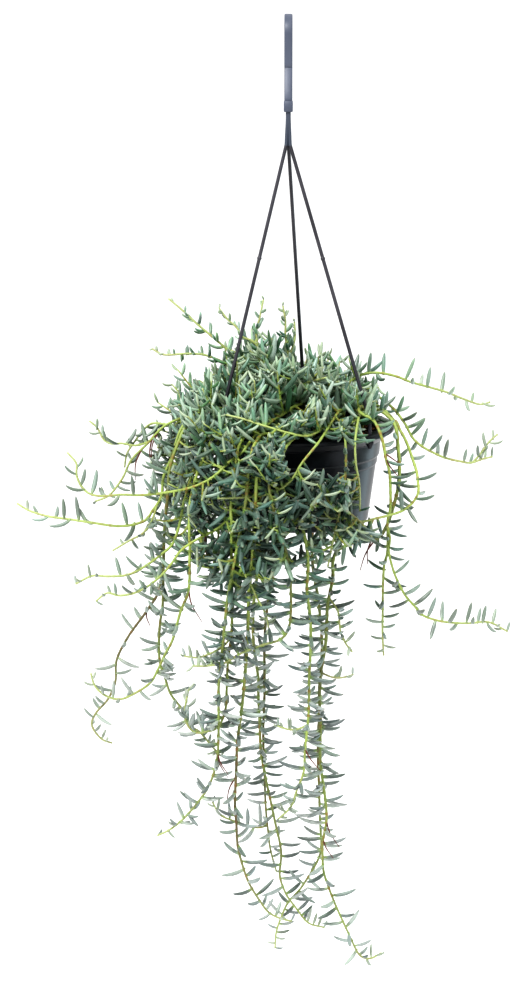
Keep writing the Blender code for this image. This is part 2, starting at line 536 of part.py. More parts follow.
def spread_apart(stems):
    """Moves the stems off each other, off the pot and off the strands, a little in each round."""
    lines = [(name, line) for name, group in stems.items() for line in group]
    owners = np.concatenate([[k] * len(line) for k, (_, line) in enumerate(lines)])
    groups = np.concatenate([[list(stems).index(name)] * len(line) for name, line in lines])
    joints = find_joints(stems)
    strands = [strand_line(azimuth) for azimuth in STRAND_AZIMUTHS.values()]
    starts = np.array([a for strand in strands for a in strand[:-1]])
    ends = np.array([b for strand in strands for b in strand[1:]])
    for _ in range(SPREAD_ROUNDS):
        cloud = np.concatenate([line for _, line in lines])
        tree = KDTree(len(cloud))
        for k, point in enumerate(cloud):
            tree.insert(point, k)
        tree.balance()
        push = np.zeros_like(cloud)
        for k, point in enumerate(cloud):
            for near, other, distance in tree.find_range(point, STEM_CLEARANCE):
                if groups[other] == groups[k] or distance < 1e-6:
                    continue
                push[k] += (point - np.array(near)) / distance * 0.5 * (STEM_CLEARANCE - distance)
        for first, last in zip(starts, ends):
            chord = last - first
            share = np.clip((cloud - first) @ chord / (chord @ chord), 0.0, 1.0)
            away = cloud - first - share[:, None] * chord
            distance = np.maximum(np.linalg.norm(away, axis=1), 1e-6)
            short = np.maximum(STEM_CLEARANCE - distance, 0.0)
            push += away / distance[:, None] * short[:, None]
        for k, (name, line) in enumerate(lines):
            move = push[owners == k]
            rooted = line is stems[name][0]
            for _ in range(SPREAD_SMOOTHING):
                padded = np.concatenate([move[:1], move, move[-1:]])
                move = 0.25 * padded[:-2] + 0.5 * padded[1:-1] + 0.25 * padded[2:]
            fixed = UPRIGHT_STEPS + 1 if rooted else 0
            move[:fixed] = 0.0
            line += move
            for point in line[fixed:]:
                clear_of_pot(point, POT_CLEARANCE)
        for shoot, parent, index in joints:
            shift = parent[index] - shoot[0]
            fade = np.linspace(1.0, 0.0, min(JOINT_FADE, len(shoot)))
            shoot[:len(fade)] += fade[:, None] * shift


def nearest_index(line, point):
    return int(np.argmin(np.linalg.norm(line - point, axis=1)))


def find_joints(stems):
    """For each side shoot: its line, its parent's line and the parent's point that it grows from."""
    joints = []
    for group in stems.values():
        for shoot in group[1:]:
            joints.append((shoot, group[0], nearest_index(group[0], shoot[0])))
    return joints


def tube_points(lines, rank):
    """Indices of the points that a line's tube runs through, with the places where side shoots leave it."""
    line = lines[rank]
    corners = {0, len(line) - 1}
    if rank == 0:
        corners.add(UPRIGHT_STEPS)
        corners.update(nearest_index(line, shoot[0]) for shoot in lines[1:])
    return simplify(line, STEM_TOLERANCE, sorted(corners))


def tube_axis(lines, rank):
    """The line with its points moved onto the tube's straight runs."""
    kept = tube_points(lines, rank)
    line = lines[rank]
    return np.stack([np.interp(range(len(line)), kept, line[kept, k]) for k in range(3)], axis=1)


def stem_radius(line, is_shoot):
    """Radius at each point of a stem, thinning towards its tip."""
    length = STEM_STEP * (len(line) - 1)
    to_tip = np.linspace(length, 0.0, len(line))
    limit = SHOOT_SHARE if is_shoot else 1.0
    share = np.clip(to_tip / STEM_TAPER_LENGTH, 0.0, 1.0) ** STEM_TAPER_POWER
    share = np.minimum(share + STEM_TAPER_LEAST, 1.0)
    return STEM_TIP_RADIUS + (STEM_BASE_RADIUS - STEM_TIP_RADIUS) * share * limit


# Plan of the leaves

def wave(*numbers):
    """A value from 0 to 1 that strays from number to number and is the same each run."""
    return (math.sin(sum(a * b for a, b in zip(numbers, (12.9898, 78.233, 37.719)))) * 43758.5453) % 1.0


def fullness(point):
    """How dense the foliage is at a place: 1 round the crown and the rim, 0 along the trailing stems."""
    most = 0.0
    for middle, radii in MASSES:
        away = (np.asarray(point) - middle) / radii
        most = max(most, MASS_EDGE * (1.0 - away @ away))
    return min(most, 1.0)


class Front:
    """What has to stay in sight from the front: some stems, the strands and the bare part of the pot."""

    def __init__(self, stems):
        shown = []
        for name, (first, last) in FRONT_STEMS.items():
            line = stems["stem_" + name][0]
            shown.append(line[int(first * len(line)):round(last * len(line))])
        for azimuth in STRAND_AZIMUTHS.values():
            top, knee, _ = strand_line(azimuth)
            shown.append(np.array([top, top + STRAND_SHOWN * (knee - top)]))
        self.points = np.concatenate([resample(line, FRONT_STEP) for line in shown]) - EYE
        self.distances = np.linalg.norm(self.points, axis=1)
        self.ways = self.points / self.distances[:, None]

    def hidden_by(self, points, radius):
        """Whether a leaf or a shoot through these points comes before what has to show."""
        away = points - np.array(EYE)
        on_wall = EYE + away * ((WALL_FRONT - EYE[1]) / away[:, 1])[:, None]
        for (left, low), (right, high) in BARE_WALLS:
            across = (on_wall[:, 0] > left) & (on_wall[:, 0] < right)
            upright = (on_wall[:, 2] > low) & (on_wall[:, 2] < high)
            if (across & upright & (points[:, 1] < 0.0)).any():
                return True
        distances = np.linalg.norm(away, axis=1)
        apart = np.linalg.norm((away / distances[:, None])[:, None] - self.ways[None], axis=2)
        close = apart * distances[:, None] < radius + FRONT_MARGIN
        return bool((close & (distances[:, None] < self.distances[None] - FRONT_DEPTH)).any())


class Obstacles:
    """The straight runs that a leaf has to stay clear of, each with its radius and its owner."""

    def __init__(self, room):
        self.starts = np.zeros((room, 3))
        self.ends = np.zeros((room, 3))
        self.radii = np.zeros(room)
        self.owners = np.zeros(room, int)
        self.count = 0

    def add(self, start, end, radius, owner):
        k = self.count
        self.starts[k], self.ends[k], self.radii[k], self.owners[k] = start, end, radius, owner
        self.count += 1

    def gap(self, start, end, radius, skip_owner=None):
        """Smallest free distance from a run to all others."""
        n = self.count
        gaps = segment_gaps(start, end, self.starts[:n], self.ends[:n]) - self.radii[:n] - radius
        if skip_owner is not None:
            gaps = gaps[self.owners[:n] != skip_owner]
        return gaps.min() if len(gaps) else 1e9


def leaf_slots(line):
    """Distances from the start of a line at which leaves stand, closer together near the tip."""
    length = STEM_STEP * (len(line) - 1)
    slots = []
    to_tip = 0.5
    while to_tip < length:
        slots.append(length - to_tip)
        spacing = TIP_SPACING if to_tip < TIP_ZONE else LEAF_SPACING
        to_tip += spacing * (1.0 + SPACING_SPREAD * (wave(len(slots), length) - 0.5))
    return slots


def leaf_points(line, radii, slot, turn, number, scale=1.0, lift=LEAF_LIFT):
    """Root, widest place and tip of a leaf, with its radius there."""
    place = slot / STEM_STEP
    index = min(int(place), len(line) - 2)
    share = place - index
    base = line[index] + (line[index + 1] - line[index]) * share
    stem = radii[index] + (radii[index + 1] - radii[index]) * share
    low, high = max(index - 1, 0), min(index + 2, len(line) - 1)
    along = line[high] - line[low]
    along = along / np.linalg.norm(along)
    flat = np.array([along[1], -along[0], 0.0])
    if np.linalg.norm(flat) < 0.05:
        flat = np.array([1.0, 0.0, 0.0])
    flat = flat / np.linalg.norm(flat)
    upper = np.cross(flat, along)
    out = math.cos(turn) * flat + math.sin(turn) * upper
    up = np.array([0.0, 0.0, 1.0])
    stray = np.array([wave(number, slot, k) - 0.5 for k in range(3)]) * LEAF_WANDER
    way = out + along * (LEAF_FORWARD + RISING_FORWARD * max(along[2], 0.0)) + stray
    way = way + up * (LEAF_DROOP + lift * (1.0 - abs(along[2])))
    way = way / np.linalg.norm(way)
    to_tip = STEM_STEP * (len(line) - 1) - slot
    size = YOUNG_SIZE + (1.0 - YOUNG_SIZE) * min(to_tip / YOUNG_ZONE, 1.0)
    size *= 1.0 + SIZE_SPREAD * (wave(number, slot, 3) - 0.5)
    full = fullness(base)
    size *= scale * (1.0 + (CROWN_BULK - 1.0) * full)
    length = LEAF_LENGTH * size
    radius = LEAF_RADIUS * (1.0 + LEAF_PLUMPER * (size - 1.0))
    root = base - way * LEAF_SINK * stem
    widest = base + way * (stem + LEAF_WIDEST * length)
    curl = up * LEAF_CURL * (1.0 - CROWN_STRAIGHTER * full) + along * LEAF_FORWARD
    tip = widest + (way + curl) / np.linalg.norm(way + curl) * (1.0 - LEAF_WIDEST) * length
    return root, widest, tip, radius


def plan_leaves(stems):
    """Leaves of each stem, as a list of (root, widest, tip, radius), clear of all other pieces."""
    obstacles = Obstacles(9000)
    names = list(stems)
    for azimuth in STRAND_AZIMUTHS.values():
        for start, end in zip(strand_line(azimuth), strand_line(azimuth)[1:]):
            obstacles.add(start, end, STRAND_RADIUS, -1)
    for owner, name in enumerate(names):
        for rank, line in enumerate(stems[name]):
            radii = stem_radius(line, rank > 0)
            kept = tube_points(stems[name], rank)
            for first, last in zip(kept, kept[1:]):
                obstacles.add(line[first], line[last], radii[first], owner)
    front = Front(stems)
    leaves = {name: [] for name in names}
    for owner, name in enumerate(names):
        for rank in range(len(stems[name])):
            line = tube_axis(stems[name], rank)
            radii = stem_radius(line, rank > 0)
            for number, slot in enumerate(leaf_slots(line)):
                if number % LEAF_CYCLE or buried(slot, rank):
                    continue
                scale = SMALL_LEAVES.get(name, 1.0)
                leaf = fit_leaf(line, radii, slot, number, owner, obstacles, front, scale)
                if leaf is None:
                    continue
                root, widest, tip, radius = leaf
                obstacles.add(root + 0.4 * (widest - root), widest, radius, owner)
                obstacles.add(widest, tip, LEAF_OUTER_SHARE * radius, owner)
                leaves[name].append(leaf)
    return leaves


def buried(slot, rank):
    """Whether a slot lies in the soil, or where a side shoot leaves its parent."""
    if rank > 0:
        return slot < SHOOT_BARE
    return slot < ROOT_DEPTH + ROOT_RISE + STEM_BARE


def fit_leaf(line, radii, slot, number, owner, obstacles, front, scale):
    """The first of a few turns round the stem that leaves the leaf clear, or None."""
    for attempt in range(LEAF_TRIES):
        turn = number * TURN + owner * OWNER_TURN + attempt * TRY_TURN
        root, widest, tip, radius = leaf_points(line, radii, slot, turn, number, scale)
        places = (0.5 * (root + widest), widest, 0.5 * (widest + tip), tip)
        if not all(outside_pot(place, radius + LEAF_GAP) for place in places):
            continue
        if front.hidden_by(np.array(places[1:]), radius):
            continue
        if obstacles.gap(root + 0.3 * (widest - root), widest, radius, owner) < LEAF_GAP:
            continue
        if obstacles.gap(widest, tip, radius, owner) < LEAF_GAP:
            continue
        clear = root + 0.7 * (widest - root)
        if obstacles.gap(clear, widest, radius) < SELF_GAP:
            continue
        if obstacles.gap(widest, tip, LEAF_OUTER_SHARE * radius) < SELF_GAP:
            continue
        return root, widest, tip, radius
    return None


def outside_pot(point, margin):
    """Whether a point is clear of the pot, its rim and the soil."""
    radius = math.hypot(point[0], point[1])
    if radius < inner_radius(0.0) - margin:
        return point[2] > soil_height(radius) + margin
    if radius < RIM_RADIUS + margin and point[2] > -RIM_ZONE - margin:
        return point[2] > margin
    if point[2] > -POT_HEIGHT - margin:
        return radius > BAND_RADIUS + 0.5 + margin
    return True


# Blender objects

def clear_scene():
    for old in list(bpy.data.objects):
        bpy.data.objects.remove(old, do_unlink=True)


def new_collection(name):
    collection = bpy.data.collections.new(name)
    bpy.context.scene.collection.children.link(collection)
    return collection


def make_material(name, colour, roughness, metallic=0.0):
    material = bpy.data.materials.new(name)
    material.use_nodes = True
    shader = material.node_tree.nodes["Principled BSDF"]
    shader.inputs["Base Color"].default_value = (*colour, 1.0)
    shader.inputs["Roughness"].default_value = roughness
    shader.inputs["Metallic"].default_value = metallic
    material.diffuse_color = (*colour, 1.0)
    return material


def add_object(name, data, collection, material=None, parent=None):
    piece = bpy.data.objects.new(name, data)
    collection.objects.link(piece)
    if material is not None and not data.materials:
        data.materials.append(material)
    piece.parent = parent
    return piece


def hide_cutter(piece):
    piece.hide_render = True
    piece.display_type = "WIRE"


def curve_to_mesh(piece, collection):
    """Replaces a curve object by a closed mesh in the same place."""
    name = piece.name
    bpy.context.view_layer.update()
    evaluated = piece.evaluated_get(bpy.context.evaluated_depsgraph_get())
    mesh = bpy.data.meshes.new_from_object(evaluated)
    bm = bmesh.new()
    bm.from_mesh(mesh)
    bmesh.ops.remove_doubles(bm, verts=bm.verts, dist=0.01 * MM)
    bm.to_mesh(mesh)
    bm.free()
    parent = piece.parent
    place = piece.matrix_world.copy()
    bpy.data.objects.remove(piece, do_unlink=True)
    solid = bpy.data.objects.new(name, mesh)
    collection.objects.link(solid)
    solid.parent = parent
    solid.matrix_world = place
    return solid


def section_curve(sides, collection):
    """A regular outline of radius 1 mm for the stems' curves to follow."""
    curve = bpy.data.curves.new("stem_section", "CURVE")
    curve.dimensions = "2D"
    spline = curve.splines.new("POLY")
    spline.points.add(sides - 1)
    for k, target in enumerate(spline.points):
        angle = -2 * math.pi * k / sides
        target.co = (math.cos(angle) * MM, math.sin(angle) * MM, 0.0, 1.0)
    spline.use_cyclic_u = True
    section = add_object("stem_section", curve, collection)
    hide_cutter(section)
    return section


def tube(name, points, radii, collection, material, parent=None, section=None):
    """A bar through points in millimetres, with its own radius at each: round, or with its own section."""
    curve = bpy.data.curves.new(name, "CURVE")
    curve.dimensions = "3D"
    if section is None:
        curve.bevel_depth = MM
        curve.bevel_resolution = 2
    else:
        curve.bevel_mode = "OBJECT"
        curve.bevel_object = section
    curve.use_fill_caps = True
    spline = curve.splines.new("POLY")
    spline.points.add(len(points) - 1)
    for target, point, radius in zip(spline.points, points, radii):
        target.co = (*(Vector(point) * MM), 1.0)
        target.radius = radius
    piece = add_object(name, curve, collection, material, parent)
    return curve_to_mesh(piece, collection)


def turned(name, profile, steps, collection, material, parent):
    """A profile of (radius, height), turned about the Z axis."""
    mesh = bpy.data.meshes.new(name)
    bm = bmesh.new()
    verts = [bm.verts.new((r * MM, 0.0, z * MM)) for r, z in profile]
    for a, b in zip(verts, verts[1:]):
        bm.edges.new((a, b))
    bm.to_mesh(mesh)
    bm.free()
    piece = add_object(name, mesh, collection, material, parent)
    screw = piece.modifiers.new("turn", "SCREW")
    screw.steps = steps
    screw.render_steps = steps
    screw.use_merge_vertices = True
    screw.merge_threshold = 0.0001
    return piece


def round_cutter(name, place, radius, heights, sides, collection, parent):
    """An upright cylinder between two heights, top first, for cutting."""
    cone(name, place, (radius, radius), heights, sides, collection, parent)


def cone(name, place, radii, heights, sides, collection, parent):
    """An upright cone with its lower and upper radius, between two heights, top first."""
    top, bottom = heights
    mesh = bpy.data.meshes.new(name)
    bm = bmesh.new()
    bmesh.ops.create_cone(bm, cap_ends=True, segments=sides, radius1=radii[0] * MM, radius2=radii[1] * MM,
                          depth=(top - bottom) * MM)
    bm.to_mesh(mesh)
    bm.free()
    piece = add_object(name, mesh, collection, None, parent)
    piece.location = Vector((place[0], place[1], 0.5 * (top + bottom))) * MM
    hide_cutter(piece)


def combine(piece, collection, operation, solver="EXACT"):
    """Joins or cuts with every object of a collection."""
    boolean = piece.modifiers.new(operation.lower(), "BOOLEAN")
    boolean.operation = operation
    boolean.operand_type = "COLLECTION"
    boolean.collection = collection
    boolean.solver = solver
    return boolean


def apply_modifiers(piece):
    """Keeps the evaluated mesh and drops the modifiers."""
    bpy.context.view_layer.update()
    evaluated = piece.evaluated_get(bpy.context.evaluated_depsgraph_get())
    mesh = bpy.data.meshes.new_from_object(evaluated)
    piece.modifiers.clear()
    piece.data = mesh


def keep_main_body(piece):
    """Drops what a union left loose or sealed inside: all but the body with the most faces."""
    bm = bmesh.new()
    bm.from_mesh(piece.data)
    waiting = set(bm.faces)
    bodies = []
    while waiting:
        stack = [waiting.pop()]
        body = []
        while stack:
            face = stack.pop()
            body.append(face)
            linked = {near for edge in face.edges for near in edge.link_faces} & waiting
            waiting -= linked
            stack += linked
        bodies.append(body)
    bodies.sort(key=len)
    for body in bodies[:-1]:
        verts = {vert for face in body for vert in face.verts}
        bmesh.ops.delete(bm, geom=list(verts), context="VERTS")
    bm.to_mesh(piece.data)
    bm.free()


def empty_collection(collection):
    for piece in list(collection.objects):
        bpy.data.objects.remove(piece, do_unlink=True)
    bpy.data.collections.remove(collection)


# Pot and soil

def soil_profile():
    """Down the domed top, then down the wall to the base, clear of the pot."""
    wall_radius = inner_radius(0.0) - GAP
    top = [(share * wall_radius, soil_height(share * wall_radius)) for share in SOIL_RINGS]
    floor = -POT_HEIGHT + FOOT_HEIGHT + WALL + GAP
    bottom = inner_radius(POT_HEIGHT - WALL) - 1.0 - 2 * GAP
    wall = [(inner_radius(BAND_DEPTH) - 2 * GAP, -BAND_DEPTH + 1.0)]
    wall += [(inner_radius(BAND_DEPTH + 1.0) - 2 * GAP, -BAND_DEPTH - 0.6), (bottom, floor), (0.0, floor)]
    return top + wall


def build_pot(parts, cutters, frame, plastic):
    pot = turned("pot", pot_profile(), POT_STEPS, parts, plastic, frame)
    holes = bpy.data.collections.new("pot_holes")
    cutters.children.link(holes)
    for k in range(DRAIN_HOLES):
        angle = 2 * math.pi * (k + 0.5) / DRAIN_HOLES
        place = (DRAIN_CIRCLE * math.cos(angle), DRAIN_CIRCLE * math.sin(angle))
        heights = [-POT_HEIGHT + rise for rise in DRAIN_CUT]
        round_cutter(f"drain_{k + 1}", place, DRAIN_RADIUS, heights, 6, holes, frame)
    for side, azimuth in STRAND_AZIMUTHS.items():
        angle = math.radians(azimuth)
        place = (STRAND_CIRCLE * math.cos(angle), STRAND_CIRCLE * math.sin(angle))
        round_cutter(f"eye_{side}", place, EYE_RADIUS, (EYE_CUT_TOP, -SEAT_DEPTH - 1.0), 8, holes, frame)
        heights = (-SEAT_DEPTH, -SEAT_DEPTH - SEAT_CUT)
        round_cutter(f"seat_{side}", place, SEAT_RADIUS, heights, 10, holes, frame)
    combine(pot, holes, "DIFFERENCE")
    return pot


def build_soil(parts, cutters, frame, earth, roots):
    soil = turned("soil", soil_profile(), SOIL_STEPS, parts, earth, frame)
    holes = bpy.data.collections.new("soil_holes")
    cutters.children.link(holes)
    for k, root in enumerate(roots, 1):
        ground = soil_height(math.hypot(*root))
        heights = (ground + HOLE_TOP, ground - ROOT_DEPTH - GAP)
        round_cutter(f"root_hole_{k:02d}", root, HOLE_RADIUS, heights, HOLE_SIDES, holes, frame)
    combine(soil, holes, "DIFFERENCE")
    return soil


# Hanger

def hook_centre_line():
    """The hook's middle line as (back, up) points: free leg, arc, shank and its bend back under the hook."""
    radius = HOOK_INNER_RADIUS + 0.5 * STRIP_THICK
    line = [(-radius, -FREE_LEG_END)]
    corner_radius = radius / math.cos(0.5 * math.pi / HOOK_ARC_STEPS)
    for k in range(HOOK_ARC_STEPS):
        angle = math.pi * (1.0 - (k + 0.5) / HOOK_ARC_STEPS)
        line.append((corner_radius * math.cos(angle), corner_radius * math.sin(angle) - HOOK_INNER_RADIUS))
    drop = COLLAR_TOP + COLLAR_OVERLAP - SHANK_BEND_TOP
    for k in range(SHANK_STEPS + 1):
        share = k / SHANK_STEPS
        line.append((radius * 0.5 * (1.0 + math.cos(math.pi * share)), -SHANK_BEND_TOP - drop * share))
    return line


def hook_outline():
    """The strip's edge: the middle line moved half the thickness to each side, with a rounded free end."""
    line = [Vector(p) for p in hook_centre_line()]
    half = 0.5 * STRIP_THICK
    left, right = [], []
    for k, point in enumerate(line):
        before = (point - line[k - 1]).normalized() if k else (line[1] - line[0]).normalized()
        after = (line[k + 1] - point).normalized() if k + 1 < len(line) else before
        across = Vector((-(before + after).y, (before + after).x)).normalized()
        reach = half / max(across.dot(Vector((-after.y, after.x))), 0.5)
        left.append(point + across * reach)
        right.append(point - across * reach)
    end = line[0]
    cap = []
    for k in range(1, 4):
        angle = math.pi * k / 4
        cap.append(end - Vector((half * math.cos(angle), half * math.sin(angle))))
    return left[::-1] + cap + right


def build_hook(parts, cutters, plastic):
    curve = bpy.data.curves.new("hanger_hook", "CURVE")
    curve.dimensions = "2D"
    curve.fill_mode = "BOTH"
    curve.extrude = 0.5 * STRIP_WIDTH * MM
    outline = hook_outline()
    spline = curve.splines.new("POLY")
    spline.points.add(len(outline) - 1)
    for target, point in zip(spline.points, outline):
        target.co = (point.x * MM, point.y * MM, 0.0, 1.0)
    spline.use_cyclic_u = True
    hook = add_object("hanger_hook", curve, parts, plastic)
    hook.rotation_euler = (math.radians(90), 0.0, math.radians(90))
    hook = curve_to_mesh(hook, parts)
    joined = bpy.data.collections.new("hook_pieces")
    cutters.children.link(joined)
    mesh = bpy.data.meshes.new("collar")
    bm = bmesh.new()
    bmesh.ops.create_cube(bm, size=MM)
    bmesh.ops.scale(bm, vec=COLLAR_SIZE, verts=bm.verts)
    bmesh.ops.bevel(bm, geom=bm.edges, offset=COLLAR_CHAMFER * MM, segments=1, affect="EDGES")
    bm.to_mesh(mesh)
    bm.free()
    collar = add_object("collar", mesh, joined)
    collar.location = (0.0, 0.0, -(COLLAR_TOP + 0.5 * COLLAR_SIZE[2]) * MM)
    hide_cutter(collar)
    neck_top = COLLAR_TOP + COLLAR_SIZE[2] - NECK_OVERLAP
    radii = (NECK_END_RADIUS, NECK_TOP_RADIUS)
    cone("neck", (0.0, 0.0), radii, (-neck_top, -NECK_END), 12, joined, None)
    combine(hook, joined, "UNION")
    apply_modifiers(hook)
    empty_collection(joined)
    return hook


def build_strands(parts, cutters, frame, plastic):
    for side, azimuth in STRAND_AZIMUTHS.items():
        top, knee, end = strand_line(azimuth)
        start = knee - (knee - top) / np.linalg.norm(knee - top) * STRAND_BEND
        points = [top, start, knee - np.array([0.0, 0.0, 1.0]), end - np.array([0.0, 0.0, 1.0])]
        strand = tube(f"hanger_strand_{side}", points, [STRAND_RADIUS] * len(points), parts, plastic, frame)
        joined = bpy.data.collections.new(f"foot_pieces_{side}")
        cutters.children.link(joined)
        heights = (end[2], end[2] - FOOT_LENGTH)
        cone(f"foot_{side}", end, (FOOT_TIP_RADIUS, FOOT_RADIUS), heights, 10, joined, frame)
        combine(strand, joined, "UNION")
        apply_modifiers(strand)
        empty_collection(joined)


# Leafy stems

def ring_frame(along):
    """Two directions across a line."""
    side = Vector((0.0, 0.0, 1.0)).cross(along)
    if side.length < 0.1:
        side = Vector((1.0, 0.0, 0.0)).cross(along)
    side.normalize()
    return side, along.cross(side).normalized()


def leaf_mesh(name, leaf):
    """A three-sided spindle: a root sunk in the stem, its widest ring and a pointed tip."""
    root, widest, tip, radius = leaf
    side, over = ring_frame(Vector(tip - root).normalized())
    bm = bmesh.new()
    ring = []
    for k in range(LEAF_SIDES):
        angle = 2 * math.pi * k / LEAF_SIDES
        offset = side * math.cos(angle) + over * math.sin(angle)
        ring.append(bm.verts.new((Vector(widest) + offset * radius) * MM))
    low = bm.verts.new(Vector(root) * MM)
    high = bm.verts.new(Vector(tip) * MM)
    for k in range(LEAF_SIDES):
        following = (k + 1) % LEAF_SIDES
        bm.faces.new((low, ring[following], ring[k]))
        bm.faces.new((high, ring[k], ring[following]))
    mesh = bpy.data.meshes.new(name)
    bm.to_mesh(mesh)
    bm.free()
    return mesh


def build_stem(name, lines, leaves, parts, cutters, frame, green, section):
    """One leafy stem: its main line, with its side shoots and leaves joined on."""
    joined = bpy.data.collections.new(name + "_pieces")
    cutters.children.link(joined)
    for rank, line in enumerate(lines):
        kept = tube_points(lines, rank)
        radii = stem_radius(line, rank > 0)
        target = joined if rank else parts
        label = f"{name}_shoot_{rank}" if rank else name
        piece = tube(label, line[kept], radii[kept], target, green, frame, section)
        if rank:
            hide_cutter(piece)
        else:
            stem = piece
    for k, leaf in enumerate(leaves, 1):
        piece = add_object(f"{name}_leaf_{k}", leaf_mesh("leaf", leaf), joined, green, frame)
        hide_cutter(piece)
    # The exact solver leaves open edges on some of these, where many small leaves meet a thin stem
    combine(stem, joined, "UNION", "MANIFOLD")
    apply_modifiers(stem)
    keep_main_body(stem)
    empty_collection(joined)


def main():
    clear_scene()
    parts = new_collection(NAME)
    cutters = new_collection("cutters")
    frame = bpy.data.objects.new("pot_frame", None)
    parts.objects.link(frame)
    frame.location = Vector((POT_SHIFT_X, 0.0, -HOOK_TO_RIM)) * MM
    plastic = make_material("charcoal_plastic", (0.045, 0.046, 0.052), 0.42)
    earth = make_material("potting_soil", (0.10, 0.055, 0.03), 0.95)
    green = make_material("senecio_green", (0.16, 0.30, 0.24), 0.5)
    section = section_curve(STEM_SIDES, cutters)
    stems, roots = plan_stems()
    leaves = plan_leaves(stems)
    for name, lines in stems.items():
        build_stem(name, lines, leaves[name], parts, cutters, frame, green, section)
    build_hook(parts, cutters, plastic)
    build_strands(parts, cutters, frame, plastic)
    build_pot(parts, cutters, frame, plastic)
    build_soil(parts, cutters, frame, earth, roots)


if __name__ == "__main__":
    main()
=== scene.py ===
"""Looks of the potted trailing senecio: fine leaves and stems, pot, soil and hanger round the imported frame.

Lengths are written in millimetres in the pot's own frame, whose origin is the middle of the rim, and turned
into metres in the row's frame as meshes are made. The stems repeat the routes of the part's source, so that
each fine stem lies where its solid lies, and the leaves that the solids have come first.
"""

import math

import bmesh
import bpy
import numpy as np
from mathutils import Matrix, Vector
from mathutils.kdtree import KDTree


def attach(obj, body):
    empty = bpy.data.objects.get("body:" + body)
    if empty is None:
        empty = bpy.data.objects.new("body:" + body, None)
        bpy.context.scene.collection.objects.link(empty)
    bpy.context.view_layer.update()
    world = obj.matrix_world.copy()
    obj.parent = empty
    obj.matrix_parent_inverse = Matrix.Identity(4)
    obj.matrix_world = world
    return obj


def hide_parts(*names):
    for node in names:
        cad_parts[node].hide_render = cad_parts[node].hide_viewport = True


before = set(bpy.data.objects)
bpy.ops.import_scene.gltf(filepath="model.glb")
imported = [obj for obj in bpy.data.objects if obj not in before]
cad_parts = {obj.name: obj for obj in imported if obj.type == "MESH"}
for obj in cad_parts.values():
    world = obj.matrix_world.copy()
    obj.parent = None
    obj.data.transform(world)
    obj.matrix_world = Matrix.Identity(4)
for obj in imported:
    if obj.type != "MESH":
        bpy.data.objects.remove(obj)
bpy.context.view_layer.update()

MM = 0.001
GAP = 0.3                       # left between pieces that touch

# Place of the pot: the plant is heavier on its left, so the pot hangs a little to the right of the hook
POT_SHIFT_X = 8.0
HOOK_TO_RIM = 313.0

# Pot
RIM_RADIUS = 75.0
RIM_LIP = 3.4                   # height of the rim's outer edge
RIM_ROUND = 0.9
RIM_DEPTH = 9.0                 # the underside of the rim meets the wall here
BAND_RADIUS = 64.6
BAND_DEPTH = 22.5
BAND_STEP = 1.0
LEDGE_DEPTH = 29.0              # a second, smaller step
LEDGE_RADIUS = 61.0
# Radius and depth down the outer wall: root of the rim, top and foot of the band, its step, and the ledge
BAND_OUTLINE = [(BAND_RADIUS + 2.6, RIM_DEPTH), (BAND_RADIUS, RIM_DEPTH + 1.0),
                (BAND_RADIUS - 1.0, BAND_DEPTH - 0.5), (BAND_RADIUS - 2.4, BAND_DEPTH + BAND_STEP),
                (BAND_RADIUS - 2.8, LEDGE_DEPTH - 0.4), (LEDGE_RADIUS, LEDGE_DEPTH + 0.6)]
INNER_BEVEL = 2.0               # slope from the rim's flat top into the inner wall
BASE_CORNER = 1.0               # slopes where the walls of the pot and of its foot meet the base
BAND_TAPER = 1.0                # narrowing of the inner wall from the rim to the band
BAND_LEDGE = 1.6                # and at the band's ledge
BAND_INSET = 1.4
BASE_RADIUS = 55.0
BASE_ROUND = 1.4
POT_HEIGHT = 75.0
WALL = 1.8
FOOT_WIDTH = 5.0
FOOT_HEIGHT = 1.6

# Soil
SOIL_CROWN = 6.0                # height of the soil's middle above the rim
SOIL_FALL = 12.2                # drop from the middle to the wall

# Hanger
STRIP_WIDTH = 6.2
STRIP_THICK = 3.6
HOOK_INNER_RADIUS = 11.0
FREE_LEG_END = 36.0
SHANK_BEND_TOP = 28.0
COLLAR_TOP = 62.0
COLLAR_SIZE = (7.0, 6.8, 8.4)
COLLAR_OVERLAP = 3.0            # the strip ends this far inside the collar
NECK_OVERLAP = 2.0              # the neck starts this far inside it
NECK_END = 95.0
STRAND_RADIUS = 1.4
STRAND_START = 1.85             # from the neck's axis to each strand's
STRAND_DROP = 0.85              # the slanted end of a strand starts this far below the neck
STRAND_CIRCLE = 69.0            # radius on which the strands pass through the rim
STRAND_RISE = 10.0              # the strand stands upright this far above the rim
STRAND_AZIMUTHS = {"back": 86.0, "left": 211.0, "right": -37.0}
SEAT_DEPTH = 5.5
FOOT_RADIUS = 3.1
FOOT_TIP_RADIUS = 1.5
FOOT_LENGTH = 5.0

# Stems
ROOT_DEPTH = 9.0
ROOT_RISE = 3.0
STEM_STEP = 4.0                 # spacing of the points along a stem
ROUTE_PIECES = 12               # into which a route's curve is first cut between two of its points
UPRIGHT_STEPS = 3               # these first steps of a stem stand upright in its hole and stay put
STEM_BASE_RADIUS = 1.4
STEM_TIP_RADIUS = 0.6
SHOOT_SHARE = 0.8               # a side shoot is this much of its stem's extra thickness
STEM_TAPER_LENGTH = 420.0       # a stem this long has the full base radius
STEM_TAPER_POWER = 0.6
STEM_TAPER_LEAST = 0.15         # and a short one at least this share of it
STEM_CLEARANCE = 5.8            # between the points of two stems
POT_CLEARANCE = 3.0             # between a stem's axis and the pot
WALL_CLEARANCE = 0.5            # added round the pot's wall for leaves
RIM_ZONE = 10.4                 # the rim and its underside reach this far down
STEM_TOLERANCE = 1.3            # how far a tube's straight runs may leave the stem's curve
SPREAD_ROUNDS = 80
SPREAD_SMOOTHING = 3            # each round's moves are smoothed so often along a stem
JOINT_FADE = 8                  # points over which a side shoot follows its parent

